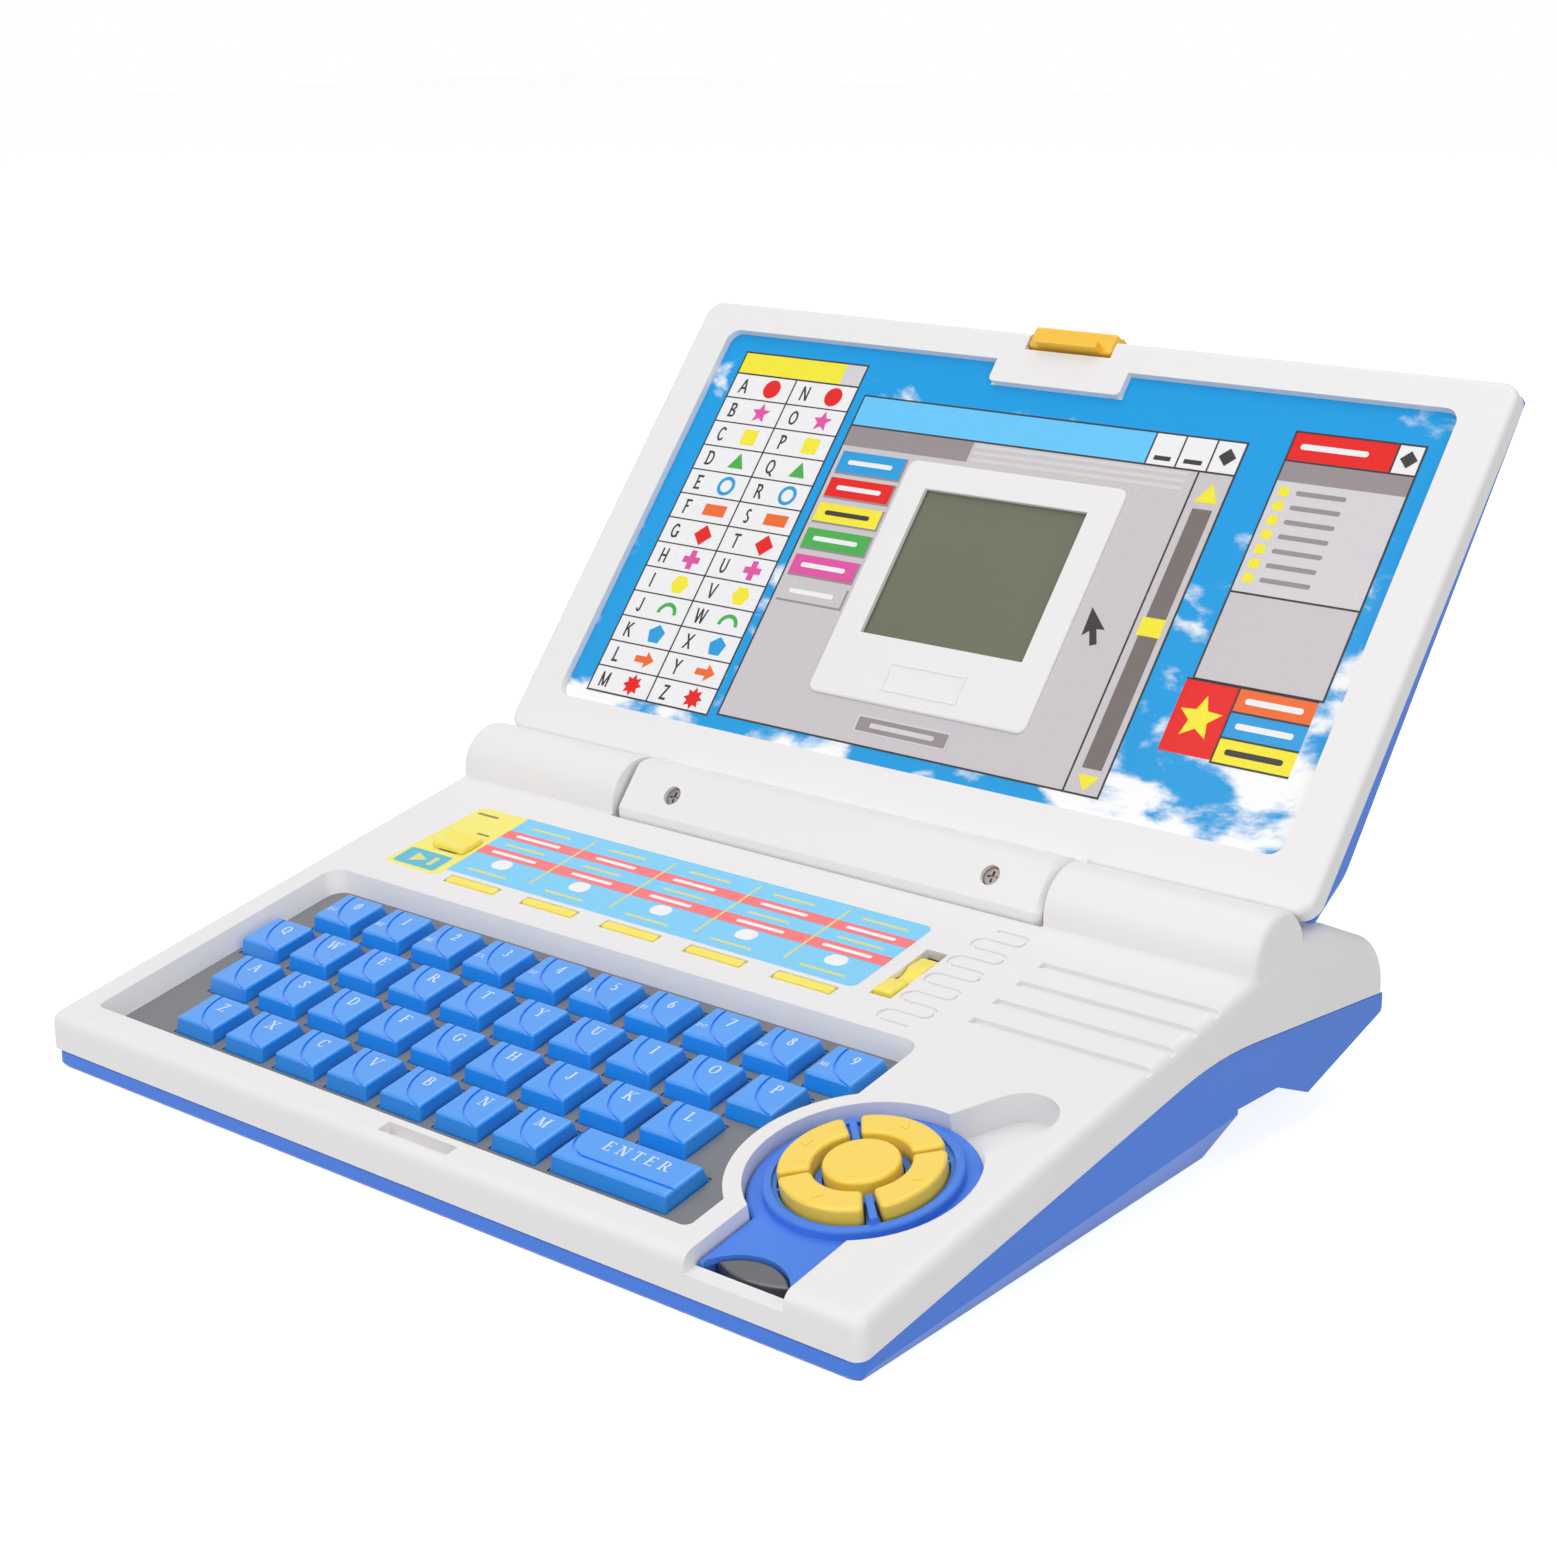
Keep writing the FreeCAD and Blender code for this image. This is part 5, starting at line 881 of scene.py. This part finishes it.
    def side_panel(self):
        """A list with tick boxes, over a few blocks of colour."""
        x0, x1 = 75.0, 111.6
        self.print_on("red", [bar(x0, x1 - 7.6, 115.2, 123.8)])
        self.print_on("white", [bar(x1 - 7.6, x1, 115.2, 123.8)])
        self.print_on("grey", [bar(x0, x1, 53, 115.2)])
        self.print_on("menu", [bar(x0, x1, 109.4, 115.2)], 2)
        self.print_on("pale", [bar(x0 + 0.5, x1 - 0.5, 78, 109.4)], 2)
        self.print_on("white", [pad(x0 + 3, x0 + 22, 118.7, 120.3, 0.7, 3)], 2)
        lines = frame_lines(x0, x1, 53, 123.8, 0.5)
        lines += [bar(x0, x1, y - 0.25, y + 0.25) for y in (77.7, 115.2)]
        lines += [bar(x1 - 7.6, x1 - 7.1, 115.2, 123.8), ngon(x1 - 3.6, 119.5, 2.4, 4)]
        self.print_on("dark", lines, 3)
        self.print_on("red", [bar(73.6, 88.8, 33.2, 53)])
        self.print_on("yellow", [star(81.2, 43.1, 6.2)], 2)
        for ink, y0, y1 in (("orange", 46.5, 53), ("blue", 39.5, 46.5), ("yellow", 32.5, 39.5)):
            self.print_on(ink, [bar(88.8, 110.4, y0, y1)])
            mark = "dark" if ink == "yellow" else "white"
            middle = (y0 + y1) / 2
            self.print_on(mark, [pad(91.5, 107.5, middle - 0.8, middle + 0.8, 0.7, 3)], 2)
        lines = [bar(73.6, 110.4, 52.75, 53.25), bar(88.55, 89.05, 32.5, 53)]
        lines += [bar(88.8, 110.4, y - 0.25, y + 0.25) for y in (32.7, 39.5, 46.5)]
        self.print_on("dark", lines, 3)

    def ruled_rows(self):
        """The repeated marks: chart rules, tick boxes and list lines."""
        tree = row_tree()
        ink = {name: self.materials[i] for name, i in self.inks.items()}
        level = (self.face - self.step, self.face + 2 * self.step)
        x0, x1 = CHART_SIDES
        row_of_pads("card_chart_rules", "lid", tree, ink["dark"], CHART_ROWS - 1,
                    ((x0 + x1) / 2, CHART_LOW + CHART_PITCH), (0, CHART_PITCH), (x1 - x0, 0.4), 0.05,
                    level, LID_PLANE)
        level = (self.face - self.step, self.face + 3 * self.step)
        row_of_pads("card_tick_boxes", "lid", tree, ink["yellow"], LIST_ROWS,
                    (78.6, LIST_LOW), (0, LIST_PITCH), (2.9, 2.6), 0.3, level, LID_PLANE)
        row_of_pads("card_list_lines", "lid", tree, ink["menu"], LIST_ROWS,
                    (89.0, LIST_LOW), (0, LIST_PITCH), (14.0, 1.3), 0.5, level, LID_PLANE)


# The label's places on the deck, in millimetres: x to the right and v back from the deck's front edge
LABEL_STRIP = (-92, 47.3, 100.3, 131.5, 2.2)
LABEL_SLOT = (-100.6, -93.4, 107.3, 116.3)
LABEL_FIELD = (
    (-109.9, 97.6), (-108.9, 96.7), (-91.4, 96.5), (-89.6, 98),
    (-89.6, 131.2), (-105.8, 131.2), (-107, 130.3),
)
LABEL_SUNK = 0.02
LABEL_COLUMNS = [-76.3 + 28.2 * column for column in range(5)]


class TOYLAPTOP_OT_label(BuilderOperator, bpy.types.Operator):
    """Print the label above the keyboard."""

    bl_idname = "toylaptop.label"
    bl_label = "Deck label"

    def execute(self, context):
        c = self.colours
        inks = [
            printed_ink("label_ink_blue", c.label_blue), printed_ink("label_ink_yellow", c.label_yellow),
            printed_ink("label_ink_red", c.label_red), printed_ink("label_ink_white", linear("F7F7F9")),
            printed_ink("label_ink_gold", linear("E9E08E")), printed_ink("label_ink_teal", linear("5CC0D8")),
            printed_ink("label_ink_brown", linear("9C8A4A")),
        ]
        blue, yellow, red, white, gold, teal, brown = range(7)
        top = self.sizes.label_sheet / MM
        step = self.sizes.ink_step / MM
        bm = bmesh.new()
        slab(bm, [pad(*LABEL_STRIP)], deck, 0.0, top, blue, [LABEL_FIELD])
        slab(bm, [LABEL_FIELD], deck, 0.0, top, yellow, [bar(*LABEL_SLOT)])
        level = top + step
        for v0, v1 in ((120.5, 124.3), (111.2, 115.3)):
            slab(bm, [bar(-89.6, 47.3, v0, v1)], deck, LABEL_SUNK, level, red)
        slab(bm, [pad(-108, -92.4, 97.8, 105.6, 0.8)], deck, LABEL_SUNK, level, teal)
        ticks = [bar(-105.5, -98, 127.6, 128.5), bar(-97, -92.5, 118.6, 119.4)]
        slab(bm, ticks, deck, LABEL_SUNK, level, brown)
        marks = [[(-103.6, 99.4), (-98.6, 101.7), (-103.6, 104)], bar(-97, -95.4, 99.6, 103.8)]
        slab(bm, marks, deck, LABEL_SUNK, level + step, gold)
        dashes = []
        for column, x in enumerate(LABEL_COLUMNS):
            x0, x1 = x - 9 + column % 2, x + 7 - column % 3
            dashes += [pad(x0, x1, v - 0.6, v + 0.6, 0.5, 3) for v in (122.4, 113.2)]
        slab(bm, dashes, deck, LABEL_SUNK, level + step, white)
        lines = []
        for column, x in enumerate(LABEL_COLUMNS):
            lines += [bar(x - 8, x + 6 - column % 2, v - 0.4, v + 0.4) for v in (127.4, 117.6, 103.2)]
        slab(bm, lines, deck, LABEL_SUNK, level, gold)
        finish_piece(bm, "deck_label", "base", inks)
        tree = row_tree()
        row_of_pads("deck_label_dots", "base", tree, inks[white], 5,
                    (-77.1, 108.5), (28.15, 0), (6.2, 4.6), 2.28, (LABEL_SUNK, level), DECK_PLANE)
        row_of_pads("deck_label_rules", "base", tree, inks[gold], 4,
                    (-62.6, 116.6), (28.6, 0), (0.6, 25.8), 0.1, (LABEL_SUNK, level + step), DECK_PLANE)
        return {"FINISHED"}


# The studio: lamps as name, place, size in metres and power in watts, and the camera fitted to the photograph
LAMPS = (
    ("key_softbox", (-0.4, -1.3, 1.2), 1.4, 13),
    ("fill_softbox", (1.7, -0.9, 0.6), 1.6, 14),
    ("top_softbox", (-0.1, 0.3, 1.7), 1.6, 12),
)
LAMP_TARGET = (0, 0, 0.06)
SKY_LIGHT = 0.25
FLOOR_REACH = 4.0
CAMERA_SPOT = (440.47, -489.06, 267.64)
CAMERA_YAW = 0.70699
CAMERA_PITCH = 0.28359
CAMERA_ROLL = -0.00169
CAMERA_LENS = 66.47
CAMERA_SENSOR = 36


class TOYLAPTOP_OT_stage(BuilderOperator, bpy.types.Operator):
    """Set up the floor, the light and the camera."""

    bl_idname = "toylaptop.stage"
    bl_label = "Studio"

    def execute(self, context):
        scene = context.scene
        scene.view_settings.view_transform = "Standard"
        self.floor()
        self.world(scene)
        for lamp in LAMPS:
            self.lamp(*lamp)
        self.camera(scene)
        return {"FINISHED"}

    def floor(self):
        bm = bmesh.new()
        reach = FLOOR_REACH
        corners = [(-reach, -reach, 0), (reach, -reach, 0), (reach, reach, 0), (-reach, reach, 0)]
        bm.faces.new([bm.verts.new(p) for p in corners])
        mesh = bpy.data.meshes.new("studio_floor")
        bm.to_mesh(mesh)
        bm.free()
        mesh.materials.append(studio_white("studio_paper"))
        floor = bpy.data.objects.new("studio_floor", mesh)
        bpy.context.scene.collection.objects.link(floor)

    def world(self, scene):
        world = bpy.data.worlds.new("studio")
        world.use_nodes = True
        tree = world.node_tree
        tree.nodes.clear()
        light = add(tree, "ShaderNodeBackground", None, {"Color": (1, 1, 1, 1), "Strength": SKY_LIGHT})
        white = add(tree, "ShaderNodeBackground", None, {"Color": (1, 1, 1, 1), "Strength": 1.0})
        mix = add(tree, "ShaderNodeMixShader", None, {
            0: seen_directly(tree), 1: light.outputs["Background"], 2: white.outputs["Background"],
        })
        add(tree, "ShaderNodeOutputWorld", None, {"Surface": mix.outputs["Shader"]})
        scene.world = world

    def lamp(self, name, spot, size, power):
        light = bpy.data.lights.new(name, "AREA")
        light.size = size
        light.energy = power
        lamp = bpy.data.objects.new(name, light)
        lamp.location = spot
        aim = Vector(LAMP_TARGET) - Vector(spot)
        lamp.rotation_euler = aim.to_track_quat("-Z", "Y").to_euler()
        bpy.context.scene.collection.objects.link(lamp)

    def camera(self, scene):
        data = bpy.data.cameras.new("camera")
        data.sensor_width = CAMERA_SENSOR
        data.lens = CAMERA_LENS
        data.clip_start = 0.02
        camera = bpy.data.objects.new("camera", data)
        turn = Matrix.Rotation(CAMERA_YAW, 4, "Z") @ Matrix.Rotation(math.pi / 2 - CAMERA_PITCH, 4, "X")
        turn = turn @ Matrix.Rotation(CAMERA_ROLL, 4, "Z")
        camera.matrix_world = Matrix.Translation(Vector(CAMERA_SPOT) * MM) @ turn
        scene.collection.objects.link(camera)
        scene.camera = camera


STEPS = (
    TOYLAPTOP_OT_shells, TOYLAPTOP_OT_controls, TOYLAPTOP_OT_keyboard, TOYLAPTOP_OT_display,
    TOYLAPTOP_OT_card, TOYLAPTOP_OT_label, TOYLAPTOP_OT_stage,
)


class TOYLAPTOP_PT_sidebar(bpy.types.Panel):
    """Steps, colours and sizes of the toy laptop."""

    bl_idname = "TOYLAPTOP_PT_sidebar"
    bl_label = "Toy Laptop"
    bl_space_type = "VIEW_3D"
    bl_region_type = "UI"
    bl_category = "Toy Laptop"

    def draw(self, context):
        for step in STEPS:
            self.layout.operator(step.bl_idname)
        for group in (context.scene.toy_laptop_colours, context.scene.toy_laptop_sizes):
            box = self.layout.box()
            for name in group.bl_rna.properties.keys():
                if name not in ("rna_type", "name"):
                    box.prop(group, name)


CLASSES = (ToyLaptopColours, ToyLaptopSizes) + STEPS + (TOYLAPTOP_PT_sidebar,)


def register():
    for cls in CLASSES:
        bpy.utils.register_class(cls)
    bpy.types.Scene.toy_laptop_colours = bpy.props.PointerProperty(type=ToyLaptopColours)
    bpy.types.Scene.toy_laptop_sizes = bpy.props.PointerProperty(type=ToyLaptopSizes)


def unregister():
    del bpy.types.Scene.toy_laptop_sizes
    del bpy.types.Scene.toy_laptop_colours
    for cls in reversed(CLASSES):
        bpy.utils.unregister_class(cls)


def main():
    register()
    for step in STEPS:
        group, name = step.bl_idname.split(".")
        getattr(getattr(bpy.ops, group), name)()


if __name__ == "__main__":
    main()
